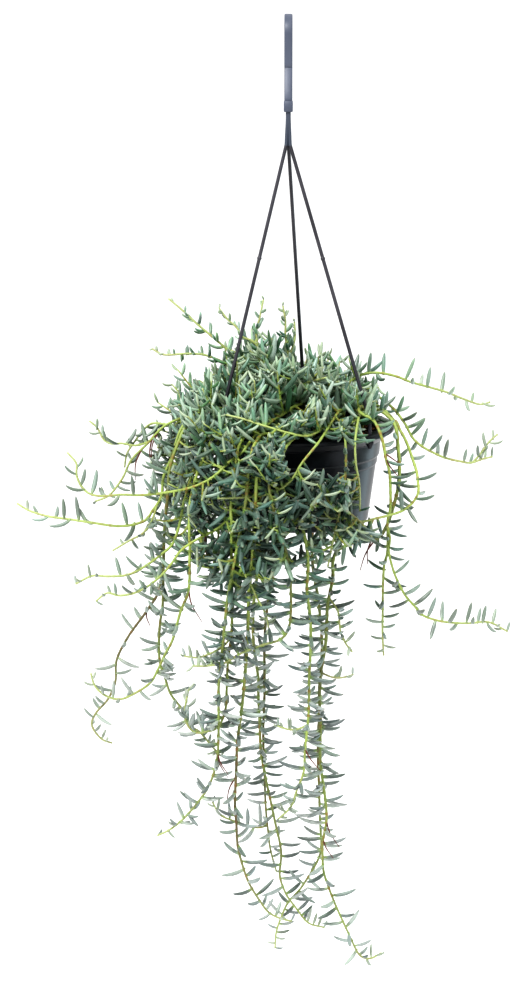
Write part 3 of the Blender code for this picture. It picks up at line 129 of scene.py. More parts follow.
# Leaves
LEAF_SPACING = 6.25
TIP_SPACING = 4.5
TIP_ZONE = 30.0
LEAF_CYCLE = 4                  # of this many places for leaves along a stem, the solids use one
LEAF_LENGTH = 16.8
LEAF_RADIUS = 1.65
LEAF_WIDEST = 0.38              # share of the length at which a leaf is widest
LEAF_GAP = 0.45
LEAF_SINK = 0.7                 # a leaf's root lies this share of the stem's radius behind its axis
LEAF_OUTER_SHARE = 0.8          # thickness of its outer part, as tested against others
# Shares of the way from a leaf's root to its widest place: from the first on it is clear of other stems and
# their leaves, from the second on of those of its own stem too, and from the third on later ones avoid it
LEAF_TESTED_FROM = 0.3
LEAF_OWN_TESTED_FROM = 0.7
LEAF_TAKEN_FROM = 0.4
MOST_RUNS = 9000                # room for the straight runs of all stems and leaves
STEM_BARE = 4.0                 # no leaf this near above a stem's upright part
SHOOT_BARE = 6.0                # or where a side shoot starts
SELF_GAP = 0.1                  # between the leaves of one stem
LEAF_TRIES = 9
TURN = math.radians(137.5)
OWNER_TURN = 1.7
TRY_TURN = 0.7
LEAF_FORWARD = 0.12             # lean of a leaf towards its stem's tip
RISING_FORWARD = 0.6            # more lean on a shoot that rises
LEAF_DROOP = -0.04              # a leaf leaves a hanging stem a little below level
LEAF_LIFT = 0.8                 # and stands up on a level stem
LEAF_CURL = 0.46                # its outer part curves up
CROWN_STRAIGHTER = 0.6          # but less in dense foliage
LEAF_WANDER = 0.7               # how far its direction strays
YOUNG_ZONE = 42.0               # leaves are smaller this near the tip
YOUNG_SIZE = 0.38
SIZE_SPREAD = 0.30
CROWN_BULK = 1.48               # leaves in dense foliage are this much longer
LEAF_PLUMPER = 0.6              # of what a leaf is longer, it is this share thicker
SMALL_LEAVES = {"stem_top_left_front": 0.6, "stem_top_left_back": 0.5, "stem_top_middle": 0.6,
                "stem_top_upright": 0.6}
# Dense foliage: middle and radii
MASSES = [((-15, 0, 0), (75, 95, 75)), ((-40, 0, -48), (72, 140, 92)), ((14, -85, -50), (50, 60, 42)),
          ((-38, -92, -70), (42, 60, 58))]
MASS_EDGE = 1.6
SPACING_SPREAD = 0.4

# The plant's front is seen from EYE: leaves keep off the front of these stems, between two shares of their
# length, and off the bare parts of the pot's wall
EYE = (0.0, -2356.0, 458.0)
FRONT_STEMS = {"left_upper_long": (0.1, 1.0), "left_middle": (0.45, 0.9), "left_lower_long": (0.35, 1.0),
               "left_cross": (0.36, 0.8), "left_low_shoot": (0.4, 0.9), "left_hang_front": (0.15, 0.6),
               "front_cross": (0.15, 1.0), "front_level": (0.2, 1.0), "curtain_left": (0.15, 0.5),
               "curtain_middle": (0.16, 0.35), "curtain_right": (0.2, 0.45), "right_front_short": (0.2, 1.0),
               "right_hang": (0.12, 0.6), "right_loop": (0.3, 1.0), "right_out": (0.4, 1.0)}
FRONT_MARGIN = 2.4              # left between a leaf and such a stem, as seen from EYE
FRONT_DEPTH = 1.0
FRONT_STEP = 1.5
STRAND_SHOWN = 0.86             # share of a strand's length above its knee that shows
WALL_FRONT = -62.0              # the wall's nearest part
BARE_WALLS = [((-7, -22), (34, -2)), ((45, -50), (62, -6))]   # (right, up) of the lower and upper corners

# Crown of short shoots round the middle of the pot
CROWN_PLANTS = 11
CROWN_PLACES = 33               # places in the sunflower pattern, taken in strides
CROWN_STRIDE = 5
CROWN_RADIUS = 50.0
CROWN_SPACING = 7.0
CROWN_FORK = 10.0
CROWN_FAN = 52.0
CROWN_FRONT = -20.0             # no root of the crown lies nearer to the front
CROWN_LENGTH = 58.0
CROWN_LENGTH_SPREAD = 8.0
CROWN_SIDE_SHORTER = 7.0
CROWN_RIGHT_SHORTER = 0.64      # the crown is lower on the right, from a little left of the middle on
CROWN_SLOPE_START = -20.0
CROWN_SLOPE_LENGTH = 40.0
CROWN_LEFT_LEAN = 18.0          # and leans out more on the left
CROWN_LEAN = 8.0                # lean in the middle of the crown, in degrees
CROWN_LEAN_OUT = 50.0           # more lean at its edge
CROWN_LEAN_SIDE = 14.0          # and of the outer two of three shoots
CROWN_STRAY_LEAN = 6.0          # how far a shoot strays from its lean and its azimuth
CROWN_STRAY_TURN = 12.0
CROWN_BEND_UP = 0.34            # a shoot first rises by this share of its length
CROWN_BEND_OUT = 0.2            # and goes its own way by this share
CROWN_ARCH = 2.0                # its middle is this far out

# Each long stem has the place of its root on the soil, its route and any side shoots.
# Points are (right, back, up) from the middle of the rim.
STEMS = {
    "left_upper_long": [(6, -6), [
        (2, -16, 20), (-8, -35, 17), (-19, -50, 11), (-27, -62, 7), (-35, -74, 2), (-42, -82, -5),
        (-53, -88, -14), (-65, -90, -24), (-81, -88, -32), (-96, -84, -36), (-118, -78, -40),
        (-134, -72, -41), (-150, -68, -43), (-159, -64, -42), (-165, -62, -37), (-169, -60, -28),
        (-169, -58, -20), (-176, -55, -12)]],
    "left_lower_long": [(-30, -10), [
        (-64, -30, 18), (-83, -38, 12), (-90, -42, 3), (-94, -44, -8), (-97, -46, -18), (-103, -48, -32),
        (-105, -50, -48), (-112, -50, -59), (-116, -50, -65), (-125, -50, -69), (-138, -48, -71),
        (-159, -45, -69), (-177, -42, -67), (-194, -40, -65), (-208, -38, -61), (-217, -36, -56)],
        [(-108, -50, -55), (-113, -54, -68), (-119, -56, -75), (-129, -58, -80), (-142, -58, -88)]],
    "left_middle": [(-40, 6), [
        (-57, -4, 20), (-72, -8, 12), (-90, -12, 7), (-102, -14, 2), (-109, -14, -4), (-117, -14, -13),
        (-130, -12, -27), (-136, -10, -40), (-142, -10, -49), (-148, -8, -56), (-159, -6, -61)],
        [(-117, -14, -13), (-127, -10, -16), (-138, -4, -15), (-146, 0, -16), (-152, 2, -13),
         (-157, 4, -4), (-163, 5, 1)],
        [(-103, -14, 2), (-114, -4, 1), (-119, 0, -3), (-127, 4, -14), (-134, 6, -25), (-136, 6, -36)]],
    "left_cross": [(-12, -34), [
        (-23, -72, 4), (-27, -84, -5), (-35, -90, -26), (-40, -92, -41), (-47, -92, -49), (-57, -92, -60),
        (-70, -92, -68), (-78, -92, -72), (-89, -90, -81), (-95, -88, -90), (-105, -86, -102),
        (-116, -84, -111), (-126, -82, -116), (-137, -80, -118), (-145, -80, -116), (-154, -78, -123)],
        [(-74, -92, -70), (-69, -94, -77), (-55, -98, -86), (-43, -100, -91), (-37, -100, -101),
         (-31, -100, -114), (-24, -98, -128), (-22, -96, -139)]],
    "left_low_shoot": [(-34, -28), [
        (-63, -62, 6), (-72, -72, -2), (-79, -76, -21), (-86, -76, -44), (-91, -78, -67), (-96, -78, -79),
        (-105, -78, -87), (-115, -76, -95), (-129, -74, -103), (-146, -72, -105), (-157, -70, -105),
        (-170, -68, -112)]],
    "left_hang_middle": [(-44, -14), [
        (-83, -46, 9), (-92, -54, -6), (-98, -58, -25), (-99, -60, -40), (-102, -62, -71),
        (-103, -62, -102), (-104, -60, -132), (-106, -60, -145), (-107, -60, -166), (-106, -60, -178),
        (-103, -60, -187), (-98, -60, -202), (-89, -62, -214), (-85, -64, -225), (-76, -66, -230),
        (-68, -68, -239), (-60, -70, -248)]],
    "left_hang_back": [(-46, 18), [
        (-93, 24, -2), (-99, 20, -17), (-102, 12, -47), (-105, 4, -86), (-106, 0, -117), (-110, -5, -135),
        (-119, -8, -149), (-134, -10, -170), (-143, -10, -189), (-144, -10, -206), (-150, -12, -220),
        (-160, -12, -232), (-163, -12, -241), (-155, -12, -253), (-147, -12, -256)]],
    "left_hang_front": [(-26, -40), [
        (-58, -66, 8), (-66, -78, 1), (-75, -84, -19), (-81, -86, -40), (-82, -88, -65), (-82, -88, -88),
        (-83, -86, -113), (-89, -84, -129), (-96, -80, -154), (-102, -78, -166), (-107, -78, -177),
        (-113, -76, -188), (-124, -76, -196), (-137, -74, -202), (-148, -74, -199), (-156, -72, -192),
        (-159, -72, -182)]],
    "front_cross": [(36, -14), [
        (33, -36, 18), (25, -62, 13), (16, -84, 3), (3, -92, -12), (-4, -94, -23), (-16, -94, -33),
        (-28, -94, -37), (-42, -94, -38), (-60, -94, -39)]],
    "front_level": [(22, -43), [
        (20, -60, 10), (14, -75, 8), (6, -83, 7), (-8, -85, 10), (-25, -85, 15), (-42, -82, 20),
        (-54, -78, 22)]],
    "front_right_hang": [(33, -42), [
        (34, -62, 15), (35, -76, 9), (36, -84, -2), (36, -86, -20), (34, -87, -40), (30, -88, -58),
        (26, -90, -76), (23, -90, -92)],
        [(35, -86, -26), (28, -91, -31), (18, -95, -38), (8, -97, -49), (1, -98, -60)],
        [(33, -87, -44), (40, -91, -50), (49, -90, -59), (56, -86, -70)]],
    "right_front_short": [(44, -28), [
        (46, -58, 16), (44, -74, 9), (43, -82, -1), (44, -84, -16), (46, -82, -27), (47, -80, -41),
        (47, -78, -52)]],
    "right_hang": [(50, -6), [
        (49, -34, 19), (57, -46, 13), (62, -54, 5), (65, -56, -4), (67, -56, -15), (70, -54, -27),
        (71, -52, -43), (71, -50, -57), (69, -50, -66), (69, -50, -75), (69, -48, -92), (67, -48, -100),
        (66, -46, -118), (66, -46, -137), (66, -46, -156), (67, -46, -174)],
        [(69, -50, -72), (71, -52, -81), (70, -53, -88), (73, -53, -102), (78, -52, -115), (84, -50, -126),
         (91, -50, -134), (96, -50, -140), (107, -48, -145), (119, -48, -147), (133, -46, -148),
         (148, -46, -147), (163, -44, -155)]],
    "right_hang_back": [(48, 10), [
        (60, -14, 15), (74, -26, 6), (77, -34, -11), (78, -38, -36), (74, -42, -55), (66, -46, -76),
        (59, -52, -80), (49, -58, -79), (39, -62, -82), (30, -66, -86), (27, -68, -93), (27, -70, -105),
        (25, -70, -117), (23, -70, -128), (22, -70, -155), (20, -70, -169), (18, -70, -182),
        (17, -70, -198), (18, -70, -219), (18, -70, -252), (22, -70, -284), (23, -70, -300),
        (20, -68, -320), (20, -68, -329), (21, -66, -344), (25, -66, -357), (30, -64, -371),
        (36, -64, -385), (42, -62, -399), (48, -62, -412), (52, -60, -417), (58, -60, -418),
        (67, -58, -414)],
        [(24, -70, -122), (31, -74, -132), (33, -76, -147), (38, -76, -158), (42, -76, -163)],
        [(19, -70, -181), (29, -74, -184), (37, -76, -183), (43, -76, -181)]],
    "right_loop": [(52, 20), [
        (60, 6, 14), (73, -4, 6), (80, -10, -4), (84, -14, -11), (89, -20, -24), (92, -26, -33),
        (93, -32, -42), (93, -36, -46), (89, -44, -52), (80, -54, -57), (69, -62, -59), (59, -68, -60),
        (49, -74, -61), (34, -80, -57), (24, -84, -56), (20, -84, -51)]],
    "right_out": [(44, 32), [
        (57, 24, 19), (72, 16, 12), (83, 8, 0), (90, 4, -12), (97, 2, -18), (106, 2, -23), (115, 2, -27),
        (128, 2, -30), (135, 2, -31), (144, 2, -28), (152, 2, -26)],
        [(135, 2, -31), (142, 4, -24), (149, 5, -15), (156, 6, -9)]],
    "right_top": [(36, 24), [
        (38, 20, 25), (48, 14, 36), (61, 10, 39), (77, 10, 36), (87, 10, 32), (101, 10, 28), (115, 10, 24),
        (130, 10, 18), (143, 10, 14), (150, 10, 16)]],
    "top_left_front": [(-22, 10), [
        (-45, 8, 43), (-53, 8, 55), (-68, 10, 68), (-80, 12, 78), (-91, 14, 88), (-101, 16, 96)]],
    "top_left_back": [(-34, 16), [
        (-44, 18, 33), (-56, 18, 44), (-73, 20, 51), (-88, 20, 52), (-106, 22, 51), (-114, 24, 55)]],
    "top_middle": [(-8, 4), [
        (-27, 2, 49), (-34, 2, 64), (-44, 2, 69), (-47, 2, 75), (-55, 4, 82), (-61, 4, 90)],
        [(-32, 2, 60), (-33, 4, 73), (-30, 5, 83), (-27, 6, 97)]],
    "top_upright": [(4, 14), [(-8, 13, 55), (-10, 13, 67), (-10, 13, 79), (-12, 13, 91)],
        [(-8, 13, 52), (-3, 15, 65), (-3, 16, 78)]],
    "curtain_left": [(-20, -32), [
        (-39, -72, 6), (-45, -84, -3), (-49, -90, -25), (-50, -93, -48), (-50, -94, -71), (-50, -94, -95),
        (-50, -92, -118), (-50, -92, -143), (-53, -92, -167), (-54, -92, -189), (-55, -92, -205),
        (-61, -92, -219), (-68, -92, -222), (-78, -92, -223), (-84, -92, -217), (-86, -92, -206),
        (-83, -92, -189)],
        [(-50, -92, -148), (-57, -94, -155), (-64, -94, -159), (-76, -94, -163), (-86, -94, -162)]],
    "curtain_left_long": [(-14, -44), [
        (-32, -84, 2), (-37, -94, -17), (-40, -100, -46), (-46, -102, -77), (-53, -102, -116),
        (-57, -100, -155), (-60, -98, -187), (-60, -98, -211), (-61, -96, -240), (-64, -94, -255),
        (-69, -92, -268), (-76, -90, -279), (-88, -88, -294), (-99, -88, -303), (-108, -86, -308)]],
    "curtain_middle": [(-4, -48), [
        (-24, -88, 0), (-30, -96, -17), (-32, -98, -47), (-34, -98, -78), (-37, -96, -117),
        (-38, -94, -149), (-41, -90, -190), (-43, -88, -209), (-46, -86, -233), (-47, -84, -257),
        (-48, -82, -285), (-47, -82, -299), (-46, -80, -318), (-42, -80, -335), (-37, -78, -350),
        (-30, -78, -362), (-22, -76, -374), (-13, -76, -379), (-4, -74, -382)]],
    "curtain_right": [(12, -46), [
        (-8, -86, 1), (-14, -92, -17), (-9, -94, -40), (4, -93, -64), (8, -92, -90), (7, -92, -110),
        (9, -90, -126), (10, -90, -138), (10, -88, -158), (9, -88, -182), (9, -88, -200), (8, -86, -219),
        (6, -86, -239), (5, -84, -257), (0, -84, -271), (-5, -82, -286), (-15, -82, -296)],
        [(8, -86, -219), (1, -87, -222), (-6, -88, -222), (-15, -88, -219)]],
    "curtain_shoot": [(2, -34), [
        (-17, -84, 2), (-22, -95, -16), (-18, -99, -48), (-8, -100, -82), (-5, -101, -112), (-7, -101, -139),
        (-13, -100, -147), (-22, -100, -150), (-36, -100, -155), (-45, -100, -159), (-56, -100, -165),
        (-70, -100, -168), (-79, -100, -168)]],
    "back_hang_left": [(-12, 40), [
        (-14, 66, 16), (-18, 84, 4), (-20, 90, -20), (-24, 88, -88), (-31, 86, -130), (-36, 84, -168),
        (-36, 82, -198), (-32, 80, -230), (-32, 80, -244), (-31, 78, -263), (-30, 76, -288),
        (-26, 74, -312), (-22, 72, -330), (-18, 70, -349), (-13, 68, -374), (-14, 66, -395),
        (-8, 64, -410), (1, 62, -423), (10, 60, -433), (23, 58, -436)]],
    "back_hang_middle": [(2, 46), [
        (2, 66, 14), (2, 86, 2), (0, 92, -22), (-8, 92, -89), (-18, 90, -131), (-25, 88, -172),
        (-27, 86, -199), (-27, 84, -242), (-28, 82, -277), (-27, 80, -307), (-26, 78, -337),
        (-24, 76, -358), (-22, 75, -374), (-17, 74, -393)],
        [(-24, 76, -354), (-32, 77, -356), (-45, 78, -354), (-51, 78, -351), (-64, 78, -345),
         (-70, 78, -334)]],
    "back_hang_right": [(18, 40), [
        (20, 64, 12), (22, 84, 0), (20, 90, -24), (13, 90, -89), (12, 86, -130), (17, 84, -163),
        (20, 82, -196), (19, 80, -230), (18, 78, -258), (17, 76, -287), (18, 74, -316), (19, 72, -346),
        (20, 70, -372), (18, 70, -380), (12, 68, -391), (3, 66, -405), (-6, 64, -415), (-13, 62, -429),
        (-17, 62, -442), (-18, 60, -455)]],
}

# Shorter stems that hang behind the pot: azimuth of each and how far it drops below the rim
BACK_STEMS = [(52, 60), (68, 46), (112, 96), (130, 120), (146, 88), (163, 104), (178, 70)]
BACK_ROOT_RADIUS = 47.0
BACK_ARCH = [(58, 17), (74, 14), (84, 2), (88, -18)]        # radius and height over the rim
BACK_FALL = [(90, 0.6), (87, 0.85), (94, 1.0)]              # radius and share of the drop


def soil_height(radius):
    """Height of the soil's surface at a distance from the pot's axis."""
    return SOIL_CROWN - SOIL_FALL * (radius / inner_radius(0.0)) ** 2


def inner_radius(depth):
    """Inner radius of the pot at a depth below the rim."""
    top = BAND_RADIUS - WALL
    if depth <= BAND_DEPTH:
        return top - BAND_TAPER * depth / BAND_DEPTH
    share = (depth - BAND_DEPTH) / (POT_HEIGHT - BAND_DEPTH)
    return top - BAND_TAPER - BAND_LEDGE + (BASE_RADIUS - BAND_RADIUS + BAND_INSET) * share


def pot_profile(hub, lip_inset):
    """From the inside of the base, up the inner wall, over the rim and down the outer wall."""
    floor = -POT_HEIGHT + FOOT_HEIGHT
    inner = [(hub, floor + WALL), (inner_radius(POT_HEIGHT - WALL) - BASE_CORNER, floor + WALL)]
    inner += [(inner_radius(BAND_DEPTH + BAND_STEP), -BAND_DEPTH - BAND_STEP)]
    inner += [(inner_radius(BAND_DEPTH), -BAND_DEPTH + BAND_STEP)]
    inner += [(inner_radius(0.0), -INNER_BEVEL), (inner_radius(0.0) + INNER_BEVEL, 0.0)]
    rim = [(RIM_RADIUS - RIM_ROUND, 0.0), (RIM_RADIUS, -RIM_ROUND), (RIM_RADIUS, -RIM_LIP),
           (RIM_RADIUS - lip_inset, -RIM_LIP)]
    band = [(radius, -depth) for radius, depth in BAND_OUTLINE]
    base = [(BASE_RADIUS, -POT_HEIGHT + BASE_ROUND), (BASE_RADIUS - BASE_ROUND, -POT_HEIGHT)]
    foot = BASE_RADIUS - FOOT_WIDTH
    base += [(foot, -POT_HEIGHT), (foot - BASE_CORNER, floor), (hub, floor)]
    return inner + rim + band + base


# Geometry of lines

def smooth_route(points, step):
    """Points a step apart along the smooth curve through the given points."""
    points = [np.array(p, float) for p in points]
    points = [2 * points[0] - points[1]] + points + [2 * points[-1] - points[-2]]
    fine = []
    for a, b, c, d in zip(points, points[1:], points[2:], points[3:]):
        knots = [0.0]
        for p, q in ((a, b), (b, c), (c, d)):
            knots.append(knots[-1] + math.sqrt(np.linalg.norm(q - p)))
        t0, t1, t2, t3 = knots
        for t in np.linspace(t1, t2, ROUTE_PIECES, endpoint=False):
            ab = a + (b - a) * (t - t0) / (t1 - t0)
            bc = b + (c - b) * (t - t1) / (t2 - t1)
            cd = c + (d - c) * (t - t2) / (t3 - t2)
            abc = ab + (bc - ab) * (t - t0) / (t2 - t0)
            bcd = bc + (cd - bc) * (t - t1) / (t3 - t1)
            fine.append(abc + (bcd - abc) * (t - t1) / (t2 - t1))
    fine.append(points[-2])
    return resample(np.array(fine), step)


def resample(points, step):
    """Even spacing along a line of points, both ends kept."""
    lengths = np.concatenate([[0.0], np.cumsum(np.linalg.norm(np.diff(points, axis=0), axis=1))])
    count = max(2, round(lengths[-1] / step) + 1)
    wanted = np.linspace(0.0, lengths[-1], count)
    return np.stack([np.interp(wanted, lengths, points[:, k]) for k in range(3)], axis=1)


def simplify(points, tolerance, corners):
    """Indices of the points that keep a line within the tolerance of its curve, its corners among them."""
    keep = set(corners)
    stack = list(zip(corners, corners[1:]))
    while stack:
        first, last = stack.pop()
        if last - first < 2:
            continue
        chord = points[last] - points[first]
        chord = chord / np.linalg.norm(chord)
        offsets = points[first + 1:last] - points[first]
        away = np.linalg.norm(offsets - np.outer(offsets @ chord, chord), axis=1)
        worst = int(np.argmax(away))
        if away[worst] > tolerance:
            middle = first + 1 + worst
            keep.add(middle)
            stack += [(first, middle), (middle, last)]
    return sorted(keep)


def segment_gaps(p, q, starts, ends):
    """Shortest distance between the segment p-q and each of many segments."""
    along = q - p
    others = ends - starts
    apart = p - starts
    a = along @ along
    e = np.einsum("ij,ij->i", others, others)
    b = others @ along
    c = apart @ along
    f = np.einsum("ij,ij->i", others, apart)
    steep = np.maximum(a * e - b * b, 1e-9)
    s = np.clip((b * f - c * e) / steep, 0.0, 1.0)
    t = np.clip((b * s + f) / e, 0.0, 1.0)
    s = np.clip((b * t - c) / a, 0.0, 1.0)
    nearest = apart + s[:, None] * along - t[:, None] * others
    return np.linalg.norm(nearest, axis=1)


# Plan of the stems

def strand_line(azimuth):
    """Axis of one strand, in the pot's frame."""
    angle = math.radians(azimuth)
    way = np.array([math.cos(angle), math.sin(angle), 0.0])
    top = way * STRAND_START + np.array([-POT_SHIFT_X, 0.0, HOOK_TO_RIM - NECK_END - STRAND_DROP])
    knee = way * STRAND_CIRCLE + np.array([0.0, 0.0, STRAND_RISE])
    return [top, knee, way * STRAND_CIRCLE - np.array([0.0, 0.0, SEAT_DEPTH + GAP])]


def planted(root, route):
    """A route that stands upright in the soil and then follows its points."""
    x, y = root
    ground = soil_height(math.hypot(x, y))
    return [(x, y, ground + rise) for rise in (-ROOT_DEPTH, -1.0, ROOT_RISE)] + route


def back_route(azimuth, drop):
    """A stem that leaves the soil, arches over the rim and hangs behind the pot."""
    angle = math.radians(azimuth)
    x, y = math.cos(angle), math.sin(angle)
    root = (BACK_ROOT_RADIUS * x, BACK_ROOT_RADIUS * y)
    profile = BACK_ARCH + [(radius, -drop * share) for radius, share in BACK_FALL]
    return root, [(radius * x, radius * y, height) for radius, height in profile]


def crown_roots(taken):
    """Places for the crown's roots, in a sunflower pattern clear of the others."""
    found = []
    k = 0
    while len(found) < CROWN_PLANTS:
        radius = CROWN_RADIUS * math.sqrt((k % CROWN_PLACES + 0.5) / CROWN_PLACES)
        angle = k * TURN
        place = (radius * math.cos(angle), radius * math.sin(angle))
        apart = all(math.dist(place, other) > CROWN_SPACING for other in taken + found)
        if apart and place[1] > CROWN_FRONT:
            found.append(place)
        k += CROWN_STRIDE
    return found


def crown_shoots(root, number):
    """Three short shoots that fork from one root and lean out of the crown."""
    radius = math.hypot(*root)
    outward = math.atan2(root[1], root[0])
    ground = soil_height(radius)
    fork = np.array([root[0], root[1], ground + CROWN_FORK])
    shoots = []
    for k in (0, -1, 1):
        wobble = 2.0 * wave(number, k) - 1.0
        lean = CROWN_LEAN + CROWN_LEAN_OUT * radius / CROWN_RADIUS + CROWN_LEAN_SIDE * abs(k)
        lean += CROWN_STRAY_LEAN * wobble + CROWN_LEFT_LEAN * max(-root[0], 0.0) / CROWN_RADIUS
        lean = math.radians(lean)
        azimuth = outward + math.radians(CROWN_FAN * k + CROWN_STRAY_TURN * wobble)
        length = CROWN_LENGTH + CROWN_LENGTH_SPREAD * wobble - CROWN_SIDE_SHORTER * abs(k)
        slope = (root[0] - CROWN_SLOPE_START) / CROWN_SLOPE_LENGTH
        length *= 1.0 - CROWN_RIGHT_SHORTER * min(max(slope, 0.0), 1.0)
        aside = math.sin(lean)
        way = np.array([math.cos(azimuth) * aside, math.sin(azimuth) * aside, math.cos(lean)])
        end = fork + way * length
        bend = fork + np.array([0.0, 0.0, CROWN_BEND_UP * length]) + way * CROWN_BEND_OUT * length
        middle = 0.5 * (bend + end) + way * CROWN_ARCH
        shoots.append([tuple(fork), tuple(bend), tuple(middle), tuple(end)])
    return shoots


def plan_stems():
    """All stems by name: a list of lines, the first from the soil and the rest as its side shoots."""
    plan = {}
    roots = []
    for name, (root, route, *shoots) in STEMS.items():
        roots.append(root)
        plan["stem_" + name] = [planted(root, route)] + shoots
    for number, (azimuth, drop) in enumerate(BACK_STEMS, 1):
        root, route = back_route(azimuth, drop)
        roots.append(root)
        plan[f"stem_back_short_{number}"] = [planted(root, route)]
    for number, root in enumerate(crown_roots(roots), 1):
        roots.append(root)
        first, *others = crown_shoots(root, number)
        plan[f"stem_crown_{number:02d}"] = [planted(root, first)] + others
    stems = {name: [smooth_route(line, STEM_STEP) for line in lines] for name, lines in plan.items()}
    spread_apart(stems)
    return stems, roots


def clear_of_pot(point, margin):
    """The point, moved out of the pot, the rim and the soil."""
    radius = max(math.hypot(point[0], point[1]), 1e-6)
    out = np.array([point[0], point[1], 0.0]) / radius
    inside = inner_radius(0.0)
    if radius < inside - margin:
        point[2] = max(point[2], soil_height(radius) + margin)
    elif radius < RIM_RADIUS + margin and point[2] > -RIM_ZONE:
        point[2] = max(point[2], margin)
    elif point[2] > -RIM_ZONE - margin:
        point[:] = out * max(radius, RIM_RADIUS + margin) + np.array([0.0, 0.0, point[2]])
    elif point[2] > -POT_HEIGHT - margin:
        point[:] = out * max(radius, BAND_RADIUS + POT_CLEARANCE + margin) + np.array([0.0, 0.0, point[2]])
    return point


def spread_apart(stems):
    """Moves the stems off each other, off the pot and off the strands, a little in each round."""
    lines = [(name, line) for name, group in stems.items() for line in group]
    owners = np.concatenate([[k] * len(line) for k, (_, line) in enumerate(lines)])
    groups = np.concatenate([[list(stems).index(name)] * len(line) for name, line in lines])
    joints = find_joints(stems)
    strands = [strand_line(azimuth) for azimuth in STRAND_AZIMUTHS.values()]
    starts = np.array([a for strand in strands for a in strand[:-1]])
    ends = np.array([b for strand in strands for b in strand[1:]])
    for _ in range(SPREAD_ROUNDS):
        cloud = np.concatenate([line for _, line in lines])
        tree = KDTree(len(cloud))
        for k, point in enumerate(cloud):
            tree.insert(point, k)
        tree.balance()
        push = np.zeros_like(cloud)
        for k, point in enumerate(cloud):
            for near, other, distance in tree.find_range(point, STEM_CLEARANCE):
                if groups[other] == groups[k] or distance < 1e-6:
                    continue
                push[k] += (point - np.array(near)) / distance * 0.5 * (STEM_CLEARANCE - distance)
        for first, last in zip(starts, ends):
            chord = last - first
            share = np.clip((cloud - first) @ chord / (chord @ chord), 0.0, 1.0)
            away = cloud - first - share[:, None] * chord
            distance = np.maximum(np.linalg.norm(away, axis=1), 1e-6)
            short = np.maximum(STEM_CLEARANCE - distance, 0.0)
            push += away / distance[:, None] * short[:, None]
        for k, (name, line) in enumerate(lines):
            move = push[owners == k]
            rooted = line is stems[name][0]
            for _ in range(SPREAD_SMOOTHING):
                padded = np.concatenate([move[:1], move, move[-1:]])
                move = 0.25 * padded[:-2] + 0.5 * padded[1:-1] + 0.25 * padded[2:]
            fixed = UPRIGHT_STEPS + 1 if rooted else 0
            move[:fixed] = 0.0
            line += move
            for point in line[fixed:]:
                clear_of_pot(point, POT_CLEARANCE)
        for shoot, parent, index in joints:
            shift = parent[index] - shoot[0]
            fade = np.linspace(1.0, 0.0, min(JOINT_FADE, len(shoot)))
            shoot[:len(fade)] += fade[:, None] * shift


def nearest_index(line, point):
    """Number of the line's point that lies nearest to a place."""
    return int(np.argmin(np.linalg.norm(line - point, axis=1)))


def find_joints(stems):
    """For each side shoot: its line, its parent's line and the parent's point that it grows from."""
    joints = []
    for group in stems.values():
        for shoot in group[1:]:
            joints.append((shoot, group[0], nearest_index(group[0], shoot[0])))
    return joints


def tube_points(lines, rank):
    """Indices of the points that a line's tube runs through, with the places where side shoots leave it."""
    line = lines[rank]
    corners = {0, len(line) - 1}
    if rank == 0:
        corners.add(UPRIGHT_STEPS)
        corners.update(nearest_index(line, shoot[0]) for shoot in lines[1:])
    return simplify(line, STEM_TOLERANCE, sorted(corners))


def tube_axis(lines, rank):
    """The line with its points moved onto the tube's straight runs."""
    kept = tube_points(lines, rank)
    line = lines[rank]
    return np.stack([np.interp(range(len(line)), kept, line[kept, k]) for k in range(3)], axis=1)


def stem_radius(line, is_shoot):
    """Radius at each point of a stem, thinning towards its tip."""
    length = STEM_STEP * (len(line) - 1)
    to_tip = np.linspace(length, 0.0, len(line))
    limit = SHOOT_SHARE if is_shoot else 1.0
    share = np.clip(to_tip / STEM_TAPER_LENGTH, 0.0, 1.0) ** STEM_TAPER_POWER
    share = np.minimum(share + STEM_TAPER_LEAST, 1.0)
    return STEM_TIP_RADIUS + (STEM_BASE_RADIUS - STEM_TIP_RADIUS) * share * limit


# Plan of the leaves

def wave(*numbers):
    """A value from 0 to 1 that strays from number to number and is the same each run."""
    return (math.sin(sum(a * b for a, b in zip(numbers, (12.9898, 78.233, 37.719)))) * 43758.5453) % 1.0


def fullness(point):
    """How dense the foliage is at a place: 1 round the crown and the rim, 0 along the trailing stems."""
    most = 0.0
    for middle, radii in MASSES:
        away = (np.asarray(point) - middle) / radii
        most = max(most, MASS_EDGE * (1.0 - away @ away))
    return min(most, 1.0)


class Front:
    """What has to stay in sight from the front: some stems, the strands and the bare part of the pot."""

    def __init__(self, stems, shares=FRONT_STEMS):
        shown = []
        for name, (first, last) in shares.items():
            line = stems["stem_" + name][0]
            shown.append(line[int(first * len(line)):round(last * len(line))])
        for azimuth in STRAND_AZIMUTHS.values():
            top, knee, _ = strand_line(azimuth)
            shown.append(np.array([top, top + STRAND_SHOWN * (knee - top)]))
        self.points = np.concatenate([resample(line, FRONT_STEP) for line in shown]) - EYE
        self.distances = np.linalg.norm(self.points, axis=1)
        self.ways = self.points / self.distances[:, None]

    def hidden_by(self, points, radius):
        """Whether a leaf or a shoot through these points comes before what has to show."""
        away = points - np.array(EYE)
        on_wall = EYE + away * ((WALL_FRONT - EYE[1]) / away[:, 1])[:, None]
        for (left, low), (right, high) in BARE_WALLS:
            across = (on_wall[:, 0] > left) & (on_wall[:, 0] < right)
            upright = (on_wall[:, 2] > low) & (on_wall[:, 2] < high)
            if (across & upright & (points[:, 1] < 0.0)).any():
                return True
        distances = np.linalg.norm(away, axis=1)
        apart = np.linalg.norm((away / distances[:, None])[:, None] - self.ways[None], axis=2)
        close = apart * distances[:, None] < radius + FRONT_MARGIN
        return bool((close & (distances[:, None] < self.distances[None] - FRONT_DEPTH)).any())


